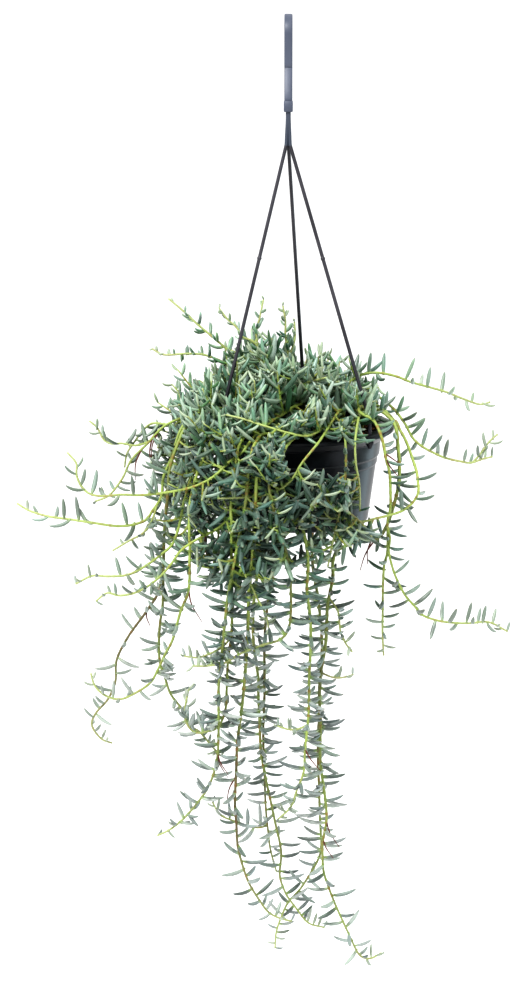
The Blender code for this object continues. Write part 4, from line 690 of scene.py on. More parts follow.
class Obstacles:
    """The straight runs that a leaf has to stay clear of, each with its radius and its owner."""

    def __init__(self, room):
        self.starts = np.zeros((room, 3))
        self.ends = np.zeros((room, 3))
        self.radii = np.zeros(room)
        self.owners = np.zeros(room, int)
        self.count = 0

    def add(self, start, end, radius, owner):
        k = self.count
        self.starts[k], self.ends[k], self.radii[k], self.owners[k] = start, end, radius, owner
        self.count += 1

    def gap(self, start, end, radius, skip_owner=None):
        """Smallest free distance from a run to all others."""
        n = self.count
        gaps = segment_gaps(start, end, self.starts[:n], self.ends[:n]) - self.radii[:n] - radius
        if skip_owner is not None:
            gaps = gaps[self.owners[:n] != skip_owner]
        return gaps.min() if len(gaps) else 1e9


def leaf_slots(line):
    """Distances from the start of a line at which leaves stand, closer together near the tip."""
    length = STEM_STEP * (len(line) - 1)
    slots = []
    to_tip = 0.5
    while to_tip < length:
        slots.append(length - to_tip)
        spacing = TIP_SPACING if to_tip < TIP_ZONE else LEAF_SPACING
        to_tip += spacing * (1.0 + SPACING_SPREAD * (wave(len(slots), length) - 0.5))
    return slots


def leaf_points(line, radii, slot, turn, number, scale=1.0, lift=LEAF_LIFT):
    """Root, widest place and tip of a leaf, with its radius there."""
    place = slot / STEM_STEP
    index = min(int(place), len(line) - 2)
    share = place - index
    base = line[index] + (line[index + 1] - line[index]) * share
    stem = radii[index] + (radii[index + 1] - radii[index]) * share
    low, high = max(index - 1, 0), min(index + 2, len(line) - 1)
    along = line[high] - line[low]
    along = along / np.linalg.norm(along)
    flat = np.array([along[1], -along[0], 0.0])
    if np.linalg.norm(flat) < 0.05:
        flat = np.array([1.0, 0.0, 0.0])
    flat = flat / np.linalg.norm(flat)
    upper = np.cross(flat, along)
    out = math.cos(turn) * flat + math.sin(turn) * upper
    up = np.array([0.0, 0.0, 1.0])
    stray = np.array([wave(number, slot, k) - 0.5 for k in range(3)]) * LEAF_WANDER
    way = out + along * (LEAF_FORWARD + RISING_FORWARD * max(along[2], 0.0)) + stray
    way = way + up * (LEAF_DROOP + lift * (1.0 - abs(along[2])))
    way = way / np.linalg.norm(way)
    to_tip = STEM_STEP * (len(line) - 1) - slot
    size = YOUNG_SIZE + (1.0 - YOUNG_SIZE) * min(to_tip / YOUNG_ZONE, 1.0)
    size *= 1.0 + SIZE_SPREAD * (wave(number, slot, 3) - 0.5)
    full = fullness(base)
    size *= scale * (1.0 + (CROWN_BULK - 1.0) * full)
    length = LEAF_LENGTH * size
    radius = LEAF_RADIUS * (1.0 + LEAF_PLUMPER * (size - 1.0))
    root = base - way * LEAF_SINK * stem
    widest = base + way * (stem + LEAF_WIDEST * length)
    curl = up * LEAF_CURL * (1.0 - CROWN_STRAIGHTER * full) + along * LEAF_FORWARD
    tip = widest + (way + curl) / np.linalg.norm(way + curl) * (1.0 - LEAF_WIDEST) * length
    return root, widest, tip, radius


def plan_leaves(stems):
    """Leaves of each stem, as a list of (root, widest, tip, radius), clear of all other pieces."""
    obstacles = Obstacles(MOST_RUNS)
    names = list(stems)
    for azimuth in STRAND_AZIMUTHS.values():
        for start, end in zip(strand_line(azimuth), strand_line(azimuth)[1:]):
            obstacles.add(start, end, STRAND_RADIUS, -1)
    for owner, name in enumerate(names):
        for rank, line in enumerate(stems[name]):
            radii = stem_radius(line, rank > 0)
            kept = tube_points(stems[name], rank)
            for first, last in zip(kept, kept[1:]):
                obstacles.add(line[first], line[last], radii[first], owner)
    front = Front(stems)
    leaves = {name: [] for name in names}
    for owner, name in enumerate(names):
        for rank in range(len(stems[name])):
            line = tube_axis(stems[name], rank)
            radii = stem_radius(line, rank > 0)
            for number, slot in enumerate(leaf_slots(line)):
                if number % LEAF_CYCLE or buried(slot, rank):
                    continue
                scale = SMALL_LEAVES.get(name, 1.0)
                leaf = fit_leaf(line, radii, slot, number, owner, obstacles, front, scale)
                if leaf is None:
                    continue
                root, widest, tip, radius = leaf
                obstacles.add(root + LEAF_TAKEN_FROM * (widest - root), widest, radius, owner)
                obstacles.add(widest, tip, LEAF_OUTER_SHARE * radius, owner)
                leaves[name].append(leaf)
    return leaves


def buried(slot, rank):
    """Whether a slot lies in the soil, or where a side shoot leaves its parent."""
    if rank > 0:
        return slot < SHOOT_BARE
    return slot < ROOT_DEPTH + ROOT_RISE + STEM_BARE


def fit_leaf(line, radii, slot, number, owner, obstacles, front, scale):
    """The first of a few turns round the stem that leaves the leaf clear, or None."""
    for attempt in range(LEAF_TRIES):
        turn = number * TURN + owner * OWNER_TURN + attempt * TRY_TURN
        root, widest, tip, radius = leaf_points(line, radii, slot, turn, number, scale)
        places = (0.5 * (root + widest), widest, 0.5 * (widest + tip), tip)
        if not all(outside_pot(place, radius + LEAF_GAP) for place in places):
            continue
        if front.hidden_by(np.array(places[1:]), radius):
            continue
        start = root + LEAF_TESTED_FROM * (widest - root)
        if obstacles.gap(start, widest, radius, owner) < LEAF_GAP:
            continue
        if obstacles.gap(widest, tip, radius, owner) < LEAF_GAP:
            continue
        start = root + LEAF_OWN_TESTED_FROM * (widest - root)
        if obstacles.gap(start, widest, radius) < SELF_GAP:
            continue
        if obstacles.gap(widest, tip, LEAF_OUTER_SHARE * radius) < SELF_GAP:
            continue
        return root, widest, tip, radius
    return None


def outside_pot(point, margin):
    """Whether a point is clear of the pot, its rim and the soil."""
    radius = math.hypot(point[0], point[1])
    if radius < inner_radius(0.0) - margin:
        return point[2] > soil_height(radius) + margin
    if radius < RIM_RADIUS + margin and point[2] > -RIM_ZONE - margin:
        return point[2] > margin
    if point[2] > -POT_HEIGHT - margin:
        return radius > BAND_RADIUS + WALL_CLEARANCE + margin
    return True


# Fine leaves and stems

LEAF_RINGS = (0.0, 0.08, 0.19, 0.36, 0.57, 0.77, 0.91, 0.98)
LEAF_WIDTHS = (0.40, 0.58, 0.88, 1.02, 1.00, 0.84, 0.54, 0.25)
LEAF_OUTLINE = ((1.0, 0.0), (0.73, 0.62), (0.0, 0.70), (-0.73, 0.62),
                (-1.0, 0.0), (-0.70, -0.68), (0.0, -0.92), (0.70, -0.68))
FINE_STEP = 2.0
FINE_SIDES = 8
FINE_THICKNESS = 0.9            # of the solids' three-sided stems
NODE_SWELL = 0.22               # a stem is this much thicker where a leaf stands
NODE_REACH = 1.3
LEAF_BULGE = 0.42               # share of a leaf's curve at which it passes its widest place
LEAF_UP = np.array([0.28, 0.09, 1.0])       # leaves turn their flatter side this way
FRAME_SIDE = (0.31, 0.95, 0.05)             # first guess for a direction across a line
TUBE_DOME = 0.5                 # share of a tube's radius by which its ends stand out


def to_row(points):
    """Points of the pot's frame, in millimetres, as metres in the row's frame."""
    return (np.asarray(points, float) + (POT_SHIFT_X, 0.0, -HOOK_TO_RIM)) * MM


class Shape:
    """The points and faces of one piece, with a material number for each face and values at each point."""

    VALUES = ("along", "shade", "youth", "upper")

    def __init__(self):
        self.points = []
        self.faces = []
        self.kinds = []
        self.values = {name: [] for name in self.VALUES}
        self.count = 0

    def add(self, points, face_blocks, kind, **values):
        """Adds points with faces, whose numbers start at 0, of one material."""
        for block in face_blocks:
            self.faces += (block + self.count).tolist()
            self.kinds += [kind] * len(block)
        self.points.append(points)
        for name in self.VALUES:
            self.values[name].append(np.broadcast_to(values.get(name, 0.0), len(points)))
        self.count += len(points)

    def build(self, name, materials, node):
        """Makes the piece, which rides on the root and replaces the given node."""
        mesh = bpy.data.meshes.new(name)
        mesh.from_pydata(np.concatenate(self.points).tolist(), [], self.faces)
        for material in materials:
            mesh.materials.append(material)
        mesh.polygons.foreach_set("material_index", self.kinds)
        for value in self.VALUES:
            layer = mesh.attributes.new(value, "FLOAT", "POINT")
            layer.data.foreach_set("value", np.concatenate(self.values[value]).astype(np.float32))
        mesh.shade_smooth()
        mesh.update()
        piece = add_object(name, mesh)
        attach(piece, "root")
        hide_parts(node)


def add_object(name, content):
    """A new object in the scene."""
    thing = bpy.data.objects.new(name, content)
    bpy.context.scene.collection.objects.link(thing)
    return thing


def grid_faces(rings, sides):
    """Quads between closed rings of points."""
    ring, side = np.meshgrid(np.arange(rings - 1), np.arange(sides), indexing="ij")
    a = ring * sides + side
    b = ring * sides + (side + 1) % sides
    return np.stack([a, b, b + sides, a + sides], axis=-1).reshape(-1, 4)


def fan_faces(first, sides, pole, outward):
    """Triangles from a ring to a pole."""
    k = np.arange(sides)
    a, b = first + k, first + (k + 1) % sides
    if not outward:
        a, b = b, a
    return np.stack([a, b, np.full(sides, pole)], axis=-1)


def tube_faces(rings, sides):
    """Faces of a tube whose points are its rings and then the poles of its two ends."""
    count = rings * sides
    return [grid_faces(rings, sides), fan_faces(0, sides, count, False),
            fan_faces(count - sides, sides, count + 1, True)]


def unit(vectors):
    """The same directions with a length of 1."""
    return vectors / np.maximum(np.linalg.norm(vectors, axis=-1, keepdims=True), 1e-9)


def add_leaves(shape, leaves, kind):
    """Fleshy pointed leaves, each along a curve through its root, its widest place and its tip."""
    if not leaves:
        return
    root, widest, tip = (np.array([leaf[k] for leaf in leaves]) for k in range(3))
    radius, shade, youth = (np.array([leaf[k] for leaf in leaves]) for k in range(3, 6))
    before, after = 1 - LEAF_BULGE, LEAF_BULGE
    bend = (widest - before ** 2 * root - after ** 2 * tip) / (2 * after * before)
    t = np.array(LEAF_RINGS)[None, :, None]
    root, tip, bend = root[:, None], tip[:, None], bend[:, None]
    centres = (1 - t) ** 2 * root + 2 * t * (1 - t) * bend + t ** 2 * tip
    tangents = unit((1 - t) * (bend - root) + t * (tip - bend))
    over = unit(LEAF_UP - (tangents @ LEAF_UP)[..., None] * tangents)
    side = np.cross(over, tangents)
    widths = radius[:, None] * np.array(LEAF_WIDTHS)
    outline = np.array(LEAF_OUTLINE)
    rings = centres[:, :, None] + widths[:, :, None, None] * (
        side[:, :, None] * outline[:, 0, None] + over[:, :, None] * outline[:, 1, None])
    count, ring_count, sides = len(leaves), len(LEAF_RINGS), len(outline)
    points = np.concatenate([rings.reshape(count, -1, 3), root, tip], axis=1)
    size = points.shape[1]
    shift = (np.arange(count) * size)[:, None, None]
    quads = grid_faces(ring_count, sides)[:, ::-1]
    fans = np.concatenate([fan_faces(0, sides, size - 2, True),
                           fan_faces((ring_count - 1) * sides, sides, size - 1, False)])
    along = np.concatenate([np.repeat(LEAF_RINGS, sides), [0.0, 1.0]])
    upper = np.concatenate([np.tile(outline[:, 1], ring_count), [0.0, 0.0]])
    shape.add(to_row(points.reshape(-1, 3)),
              [(quads[None] + shift).reshape(-1, 4), (fans[None] + shift).reshape(-1, 3)], kind,
              along=np.tile(along, count), upper=np.tile(upper, count),
              shade=np.repeat(shade, size), youth=np.repeat(youth, size))


def line_frames(line):
    """Two directions across a line at each of its points, which turn as little as they can."""
    tangents = unit(np.gradient(line, axis=0))
    side = np.cross(tangents[0], FRAME_SIDE)
    sides = []
    for tangent in tangents:
        side = side - (side @ tangent) * tangent
        side = side / np.linalg.norm(side)
        sides.append(side)
    sides = np.array(sides)
    return sides, np.cross(tangents, sides)


def add_tube(shape, line, radii, sides, kind, **values):
    """A round tube with domed ends along a line in the pot's frame."""
    across, over = line_frames(line)
    angles = 2 * math.pi * np.arange(sides) / sides
    turned = across[:, None] * np.cos(angles)[:, None] + over[:, None] * np.sin(angles)[:, None]
    rings = line[:, None] + turned * np.asarray(radii)[:, None, None]
    tangents = unit(np.gradient(line, axis=0))
    first = line[0] - tangents[0] * radii[0] * TUBE_DOME
    last = line[-1] + tangents[-1] * radii[-1] * TUBE_DOME
    points = np.concatenate([rings.reshape(-1, 3), [first, last]])
    spread = {name: np.concatenate([np.repeat(value, sides), [value[0], value[-1]]])
              for name, value in values.items()}
    shape.add(to_row(points), tube_faces(len(line), sides), kind, **spread)


# Denser leaves than the solids have

# Pairs written as least and more are for uneven(), which gives a number from least to least + more
SPRIG_SPACING = 8.0
SPRIG_UNEVEN = (0.7, 0.6)       # of that spacing, least and more
SPRIG_BARE = 3.0                # no sprig this near above a stem's upright part
SPRIG_TIP_BARE = 8.0            # or this near its tip
SPRIG_LENGTH = 32.0
SPRIG_SIZES = (0.5, 0.6)        # of that length, least and more
SPRIG_FULLNESS = (0.6, 0.4)     # the same with the foliage's fullness in place of chance
SPRIG_FULL_LINE = 75.0          # shorter stems have smaller sprigs
SPRIG_RISES = (-0.35, 0.9)
SPRIG_FORWARD = 0.3             # lean towards the stem's tip
SPRIG_BEND = 0.2                # its end is higher by this share of its length
SPRIG_GAP = 2.5                 # from the pot
SPRIG_LOW = -100.0              # there are none below this
SPRIG_PLANE = (0.1, 0.2, 1.0)   # direction that no stem follows, to measure turns from
SPRIG_RADII = (0.9, 0.5)        # at its base and its tip, for placing its leaves
SPRIG_SHOWN_RADII = (0.95, 0.5)
SPRIG_LEAF_SPACING = 5.0
SPRIG_LEAF_BARE = 3.0
SPRIG_TURN = 0.37               # between the leaves of two sprigs, added to their owner's number
SPRIG_SCALE = 1.3
SPRIG_LIFT = 0.35
SPRIG_SHADE = 0.5
DENSITY = 1.7                   # of the sprigs, for the same fullness
FRONT_SIDE = -60.0              # sprigs nearer to the front lean to the front
FRONT_LEAN = -0.5
LEFT_SIDE = -45.0               # sprigs further to the left rise less
LEFT_RISE = 0.3
LEFT_DROP = 0.1
BACK_LIMIT = 112.0              # nothing added reaches further to the back
LEAF_TURNS = 6
TURN_STEP = 0.9                 # between two tries
ADDED_GAP = 0.2                 # from the pot
OWNER_SHARE = 0.1               # of its owner's number in a leaf's own, so that stems differ
YOUTH_REACH = 22.0              # leaves are pale this near to a stem's tip
SPRIG_YOUTH_REACH = 6.0
STEM_YOUTH_REACH = 80.0
THIN_ZONES = [((-400, -400), (-88, 400)), ((60, -110), (140, 80))]      # wider apart between these corners
THIN_SHARE = 0.66
THIN_SCALE = 0.88
MORE_SCALE = 1.08               # size of the added leaves, for that of the solids' leaves
PAIR_SHARE = 0.9                # so many places near the middle have a second leaf
PAIR_TURN = 2.6
PAIR_STEP = 0.3                 # share of a step that it stands further on
PAIR_SCALE = 0.85
PAIR_MIDDLE = -40.0
PAIR_SIDE = 76.0
PAIR_DEPTH = -300.0
STEM_SHADES = (0.35, 0.65)      # least and more: 0 is bright yellow-green, 1 dark brown
FRONT_SHADES = (0.1, 0.65)      # of the stems that show in front
OLIVE_HEIGHTS = (-190.0, -130.0)    # these turn from bright to such a shade between these heights
CROWN_HEIGHTS = (-30.0, 5.0)    # and the others are brighter above these
CROWN_SHADE = 0.25
STEM_RUN = 400.0                # a stem's length for which its value "along" goes from 0 to 1
COVERED_STEMS = {"left_hang_front": (0.42, 0.6), "curtain_left": (0.42, 0.5), "curtain_middle": (0.3, 0.35),
                 "curtain_right": (0.36, 0.45), "left_low_shoot": (0.44, 0.9)}  # added leaves hide the rest

# Thin aerial roots: the stem, the place near which each leaves it, and its end from there
AERIAL_ROOTS = [
    ("left_middle", (-109, -14, -4), (-6, -3, -22)), ("left_middle", (-122, -13, -18), (-5, -3, -24)),
    ("left_middle", (-113, -14, -9), (2, -4, -26)), ("left_cross", (-70, -92, -68), (3, -4, -20)),
    ("left_hang_front", (-83, -86, -113), (10, -3, -24)), ("left_hang_back", (-118, -8, -149), (3, -4, -11)),
    ("left_hang_middle", (-62, -70, -246), (9, -4, -20)), ("right_hang", (66, -56, -10), (12, -3, -8)),
    ("right_hang", (67, -56, -14), (9, -3, -13)), ("right_hang_back", (59, -52, -80), (-12, -5, -24)),
    ("right_hang_back", (55, -54, -80), (-3, -5, -18)), ("right_hang_back", (23, -70, -300), (10, -4, -20)),
    ("right_hang_back", (21, -68, -318), (8, -4, -14)), ("curtain_right", (6, -86, -239), (12, -4, -16)),
    ("curtain_middle", (-47, -84, -262), (-7, -4, -20)),
    ("curtain_left_long", (-61, -96, -240), (8, -4, -15)),
]
ROOT_RADIUS = 0.7
ROOT_TIP_SHARE = 0.4
ROOT_MIDDLE = 0.45              # share of its length at which its bend is set
ROOT_BENDS = (0.1, 0.05)        # how far the bend is off the straight line, to the side and up
ROOT_SIDES = 6


def uneven(limits, *seeds):
    """A number from the first limit to the sum of both, the same for the same seeds."""
    least, more = limits
    return least + more * wave(*seeds)


def sprigs(owner, lines, shown):
    """Short leafy side shoots where the foliage is dense."""
    found = []
    for rank, line in enumerate(lines):
        length = STEM_STEP * (len(line) - 1)
        bare = SHOOT_BARE if rank else ROOT_DEPTH + ROOT_RISE + SPRIG_BARE
        slot = bare + SPRIG_SPACING * wave(owner, rank)
        number = 0
        while slot < length - SPRIG_TIP_BARE:
            index = min(int(slot / STEM_STEP), len(line) - 2)
            number += 1
            slot += SPRIG_SPACING * uneven(SPRIG_UNEVEN, owner, number, 1)
            full = min(DENSITY * fullness(line[index]), 1.0)
            if line[index][2] > SPRIG_LOW and wave(owner, rank, number) < full:
                found += open_sprig(line, index, number, owner, full, shown)
    return found


def open_sprig(line, index, number, owner, full, shown):
    """One side shoot, in the first direction that keeps it clear of the pot and of what has to show."""
    base = line[index]
    along = unit(line[index + 1] - base)
    flat = unit(np.cross(along, SPRIG_PLANE))
    size = SPRIG_LENGTH * uneven(SPRIG_SIZES, number, owner, 2)
    size *= SPRIG_FULLNESS[0] + SPRIG_FULLNESS[1] * full
    size *= min(1.0, len(line) * STEM_STEP / SPRIG_FULL_LINE)
    lean = FRONT_LEAN if base[1] < FRONT_SIDE else 0.0
    for attempt in range(LEAF_TURNS):
        turn = (number + attempt) * TURN + owner
        out = math.cos(turn) * flat + math.sin(turn) * np.cross(flat, along)
        rise = uneven(SPRIG_RISES, number, attempt, owner)
        if base[0] < LEFT_SIDE:
            rise = LEFT_RISE * rise - LEFT_DROP
        way = unit(out + SPRIG_FORWARD * along + np.array([0.0, lean, rise]))
        end = base + way * size + np.array([0.0, 0.0, SPRIG_BEND * size])
        points = smooth_route([base, base + way * size * 0.5, end], STEM_STEP)
        free = end[1] < BACK_LIMIT and all(outside_pot(p, SPRIG_GAP) for p in points)
        if free and not shown.hidden_by(points[2:], 1.0):
            return [points]
    return []


def open_leaf(line, radii, slot, number, owner, shown, scale, lift=LEAF_LIFT, reach=YOUTH_REACH):
    """One more leaf, in the first turn that keeps it clear of the pot and of what has to show."""
    youth = float(np.clip(1.0 - (STEM_STEP * (len(line) - 1) - slot) / reach, 0.0, 1.0))
    for attempt in range(LEAF_TURNS):
        turn = number * TURN + owner * OWNER_TURN + attempt * TURN_STEP
        own = number + OWNER_SHARE * owner
        root, widest, tip, radius = leaf_points(line, radii, slot, turn, own, scale, lift)
        places = np.array([0.5 * (root + widest), widest, 0.5 * (widest + tip), tip])
        free = tip[1] < BACK_LIMIT and all(outside_pot(p, radius + ADDED_GAP) for p in places)
        if free and not shown.hidden_by(places[1:], radius):
            return [(root, widest, tip, radius, wave(number, owner, slot), youth)]
    return []


def stem_leaves(owner, lines, solid_leaves, sprig_lines, shown, scale):
    """Every leaf of a stem as (root, widest, tip, radius, shade, youth), those of the solid first."""
    found = [(*leaf, wave(k, owner, 5), 0.0) for k, leaf in enumerate(solid_leaves)]
    for rank, line in enumerate(lines):
        axis = tube_axis(lines, rank)
        radii = stem_radius(line, rank > 0)
        for number, slot in enumerate(leaf_slots(line)):
            x, _, z = axis[int(slot / STEM_STEP)]
            thin = any(left < x < right and low < z < high for (left, low), (right, high) in THIN_ZONES)
            if buried(slot, rank) or thin and wave(number, owner, 7) > THIN_SHARE:
                continue
            if number % LEAF_CYCLE:
                size = MORE_SCALE * scale * (THIN_SCALE if thin else 1.0)
                found += open_leaf(axis, radii, slot, number, owner, shown, size)
            central = abs(x - PAIR_MIDDLE) < PAIR_SIDE and z > PAIR_DEPTH
            if central and wave(number, owner, 8) < PAIR_SHARE:
                second = slot + PAIR_STEP * STEM_STEP
                found += open_leaf(axis, radii, second, number + PAIR_TURN, owner, shown, PAIR_SCALE * scale)
    for rank, line in enumerate(sprig_lines, 1):
        radii = np.linspace(*SPRIG_RADII, len(line))
        slots = np.arange(STEM_STEP * (len(line) - 1) - 0.5, SPRIG_LEAF_BARE, -SPRIG_LEAF_SPACING)
        odd = owner + SPRIG_TURN * rank
        for number, slot in enumerate(slots):
            found += open_leaf(line, radii, slot, number + rank, odd, shown, SPRIG_SCALE, SPRIG_LIFT,
                               SPRIG_YOUTH_REACH)
    return found


def stem_tube(shape, line, radii, slots, shade, in_front=False, reach=STEM_YOUTH_REACH):
    """A fine stem with a slight swelling and a scar at each leaf."""
    fine = smooth_route(line, FINE_STEP)
    length = STEM_STEP * (len(line) - 1)
    place = np.linspace(0.0, length, len(fine))
    radius = np.interp(place, np.linspace(0.0, length, len(line)), radii)
    nearest = np.min(np.abs(place[:, None] - np.array(slots)[None]), axis=1)
    scar = np.exp(-(nearest / NODE_REACH) ** 2)
    radius = radius * (1.0 + NODE_SWELL * scar)
    youth = np.clip(1.0 - (length - place) / reach, 0.0, 1.0)
    if in_front:
        shades = np.interp(fine[:, 2], OLIVE_HEIGHTS, (shade, 0.0))
    else:
        shades = np.interp(fine[:, 2], CROWN_HEIGHTS, (shade, CROWN_SHADE * shade))
    add_tube(shape, fine, radius, FINE_SIDES, 0, along=place / STEM_RUN, youth=youth, upper=scar,
             shade=shades)


def add_aerial_roots(shape, name, line):
    """The thin dark roots that some stems have."""
    for owner, place, end in AERIAL_ROOTS:
        if name == "stem_" + owner:
            start = line[nearest_index(line, place)]
            end = np.array(end, float)
            middle = start + ROOT_MIDDLE * end + (ROOT_BENDS[0] * end[2], 0.0, ROOT_BENDS[1] * end[0])
            route = smooth_route([start, middle, start + end], 1.0)
            radii = np.linspace(ROOT_RADIUS, ROOT_TIP_SHARE * ROOT_RADIUS, len(route))
            add_tube(shape, route, radii, ROOT_SIDES, 2)


def build_plants(materials):
    """Each stem with its sprigs, its leaves and its aerial roots, as one piece."""
    stems, _ = plan_stems()
    solid_leaves = plan_leaves(stems)
    shown = Front(stems, {**FRONT_STEMS, **COVERED_STEMS})
    for owner, (name, lines) in enumerate(stems.items()):
        sprig_lines = [] if name.startswith("stem_top") else sprigs(owner, lines, shown)
        scale = SMALL_LEAVES.get(name, 1.0)
        leaves = stem_leaves(owner, lines, solid_leaves[name], sprig_lines, shown, scale)
        shape = Shape()
        in_front = name.removeprefix("stem_") in FRONT_STEMS
        for rank, line in enumerate(lines):
            radii = FINE_THICKNESS * stem_radius(line, rank > 0)
            shade = uneven(FRONT_SHADES if in_front else STEM_SHADES, owner, rank, 9)
            stem_tube(shape, line, radii, leaf_slots(line), shade, in_front)
        for rank, line in enumerate(sprig_lines):
            radii = np.linspace(*SPRIG_SHOWN_RADII, len(line))
            slots = np.arange(STEM_STEP * (len(line) - 1), 0.0, -SPRIG_LEAF_SPACING)
            shade = SPRIG_SHADE * wave(owner, rank, 4)
            stem_tube(shape, line, radii, slots, shade, reach=SPRIG_YOUTH_REACH)
        add_leaves(shape, leaves, 1)
        add_aerial_roots(shape, name, lines[0])
        shape.build(name + "_fine", materials, name)


# Pot, soil and hanger

FINE_HUB = 0.5                  # radius of the smallest ring of the pot's base
LIP_INSET = 1.6
POT_ROUND = 1.0
ROUND_SHARE = 0.45              # the most of a side that the rounding of one corner takes
TURN_STEPS = 160


def ring(radius, heights, steps):
    """Points round the pot's axis, at one height or a height for each."""
    angles = 2 * math.pi * np.arange(steps) / steps
    x, y = radius * np.cos(angles), radius * np.sin(angles)
    return np.stack([x, y, np.broadcast_to(heights, steps)], axis=1)


def rounded(profile, size, steps=3):
    """A profile with its corners cut by short arcs."""
    smooth = [profile[0]]
    for before, corner, after in zip(profile, profile[1:], profile[2:]):
        before, corner, after = (np.array(p, float) for p in (before, corner, after))
        first, last = np.linalg.norm(before - corner), np.linalg.norm(after - corner)
        reach = min(size, ROUND_SHARE * first, ROUND_SHARE * last)
        a = corner + (before - corner) / first * reach
        b = corner + (after - corner) / last * reach
        for t in np.linspace(0.0, 1.0, steps + 1):
            smooth.append(tuple((1 - t) ** 2 * a + 2 * t * (1 - t) * corner + t ** 2 * b))
    return smooth + [profile[-1]]


def build_pot(plastic):
    """The pot's profile, turned about its axis from the outer side of the base up and in."""
    shape = Shape()
    profile = rounded(pot_profile(FINE_HUB, LIP_INSET), POT_ROUND)[::-1]
    points = np.concatenate([ring(radius, height, TURN_STEPS) for radius, height in profile])
    shape.add(to_row(points), [grid_faces(len(profile), TURN_STEPS)[:, ::-1]], 0)
    shape.build("pot_fine", [plastic], "pot")


SOIL_RINGS = 46
SOIL_STEPS = 150
SOIL_HUB = 0.004                # share of the soil's radius that its smallest ring has
SOIL_BUMPS = 24
BUMP_PITCH = 0.35
BUMP_HEIGHT = 0.32
BUMP_FADE = 8.0                 # bumps fade out over one part in so many of the radius, at the wall
SOIL_SINK = 0.5                 # the surface lies this much lower, so that roots and grains stand in it
SOIL_SKIRT = 6.0                # depth of the soil's side under its edge
# What lies on the soil: number, size in millimetres and flatness of grains, chips of bark and grit
GRAINS = [(420, 1.5, 0.8), (150, 2.6, 0.35), (46, 1.3, 0.9)]
GRAIN_EDGE = 0.96               # of the soil's area, the part that they lie on
GRAIN_SIZES = (0.5, 1.3)
GRAIN_ROUGHNESS = (0.75, 1.2)
GRAIN_WIDTHS = (0.4, 1.0)
GRAIN_RISE = 0.25


def build_soil(materials):
    """A crumbly domed surface with grains, chips of bark and white grit lying on it."""
    shape = Shape()
    wall = inner_radius(0.0) - GAP
    draw = np.random.default_rng(11)
    waves = draw.normal(size=(SOIL_BUMPS, 2)) * BUMP_PITCH
    phases = draw.uniform(0, 2 * math.pi, SOIL_BUMPS)
    rings = []
    for share in np.linspace(SOIL_HUB, 1.0, SOIL_RINGS):
        points = ring(share * wall, soil_height(share * wall), SOIL_STEPS)
        bump = sum(np.sin(points[:, 0] * a + points[:, 1] * b + c) for (a, b), c in zip(waves, phases))
        fade = min(1.0, (1.0 - share) * BUMP_FADE)
        points[:, 2] += (bump * BUMP_HEIGHT - SOIL_SINK) * fade
        rings.append(points)
    depth = soil_height(wall) - SOIL_SKIRT
    rings.append(ring(wall, depth, SOIL_STEPS))
    poles = np.array([[0.0, 0.0, soil_height(0.0)], [0.0, 0.0, depth]])
    blocks = [block[:, ::-1] for block in tube_faces(len(rings), SOIL_STEPS)]
    shape.add(to_row(np.concatenate(rings + [poles])), blocks, 0)
    for kind, (number, size, flat) in enumerate(GRAINS):
        for _ in range(number):
            radius = wall * math.sqrt(draw.uniform(0.0, GRAIN_EDGE))
            angle = draw.uniform(0, 2 * math.pi)
            add_grain(shape, draw, kind, radius, angle, size * draw.uniform(*GRAIN_SIZES), flat)
    shape.build("soil_fine", materials, "soil")


def add_grain(shape, draw, kind, radius, angle, size, flat):
    """A rough little lump that sits in the soil."""
    bm = bmesh.new()
    bmesh.ops.create_icosphere(bm, subdivisions=1, radius=1.0)
    points = np.array([v.co[:] for v in bm.verts])
    faces = np.array([[v.index for v in f.verts] for f in bm.faces])
    bm.free()
    rough = draw.uniform(*GRAIN_ROUGHNESS, (len(points), 1))
    points *= rough * (size, size * draw.uniform(*GRAIN_WIDTHS), size * flat)
    turn = draw.uniform(0, 2 * math.pi)
    spin = np.array([[math.cos(turn), -math.sin(turn), 0.0], [math.sin(turn), math.cos(turn), 0.0],
                     [0.0, 0.0, 1.0]])
    height = soil_height(radius) + GRAIN_RISE * size
    place = (radius * math.cos(angle), radius * math.sin(angle), height)
    shape.add(to_row(points @ spin.T + place), [faces], kind, shade=draw.uniform())


HOOK_STEP = 1.2
ARC_POINTS = 40
BEND_POINTS = 24
STRIP_CORNER = 0.9
STRIP_ENDS = [(0.45, 0.25), (0.6, 0.2)]     # thickness of its two ends' tips, and growth at each point after
COLLAR_LEVELS = [(-0.5, 0.86), (-0.42, 1.0), (0.42, 1.0), (0.5, 0.86)]      # height and size, as shares
# Where the neck's part of a strand runs: height over the neck's top or end, and distance from the neck's axis
NECK_RUN = [(0.0, 0.6), (-10.0, 0.8)]
NECK_LAST = (8.0, 1.3)
NECK_RUN_ON = 0.6               # it ends this far down the strand's own line
NECK_SIDES = 14
STRAND_CORNER = 7.0             # length on both sides of a strand's bend that it is rounded over
CORNER_POINTS = 8
STRAND_STEP = 0.8
STRAND_SIDES = 12
NUB_SHARE = 0.41                # a small nub stands on each strand, this share of its length below the neck
NUB_HEIGHT = 0.4
NUB_HALF = 1.0
# Height and radius of a strand's foot, from its top down
FOOT_LEVELS = [(0.2, 0.9 * FOOT_RADIUS), (-0.6, FOOT_RADIUS), (-0.9 * FOOT_LENGTH, 1.1 * FOOT_TIP_RADIUS),
               (-FOOT_LENGTH, FOOT_TIP_RADIUS)]
FOOT_SIDES = 16


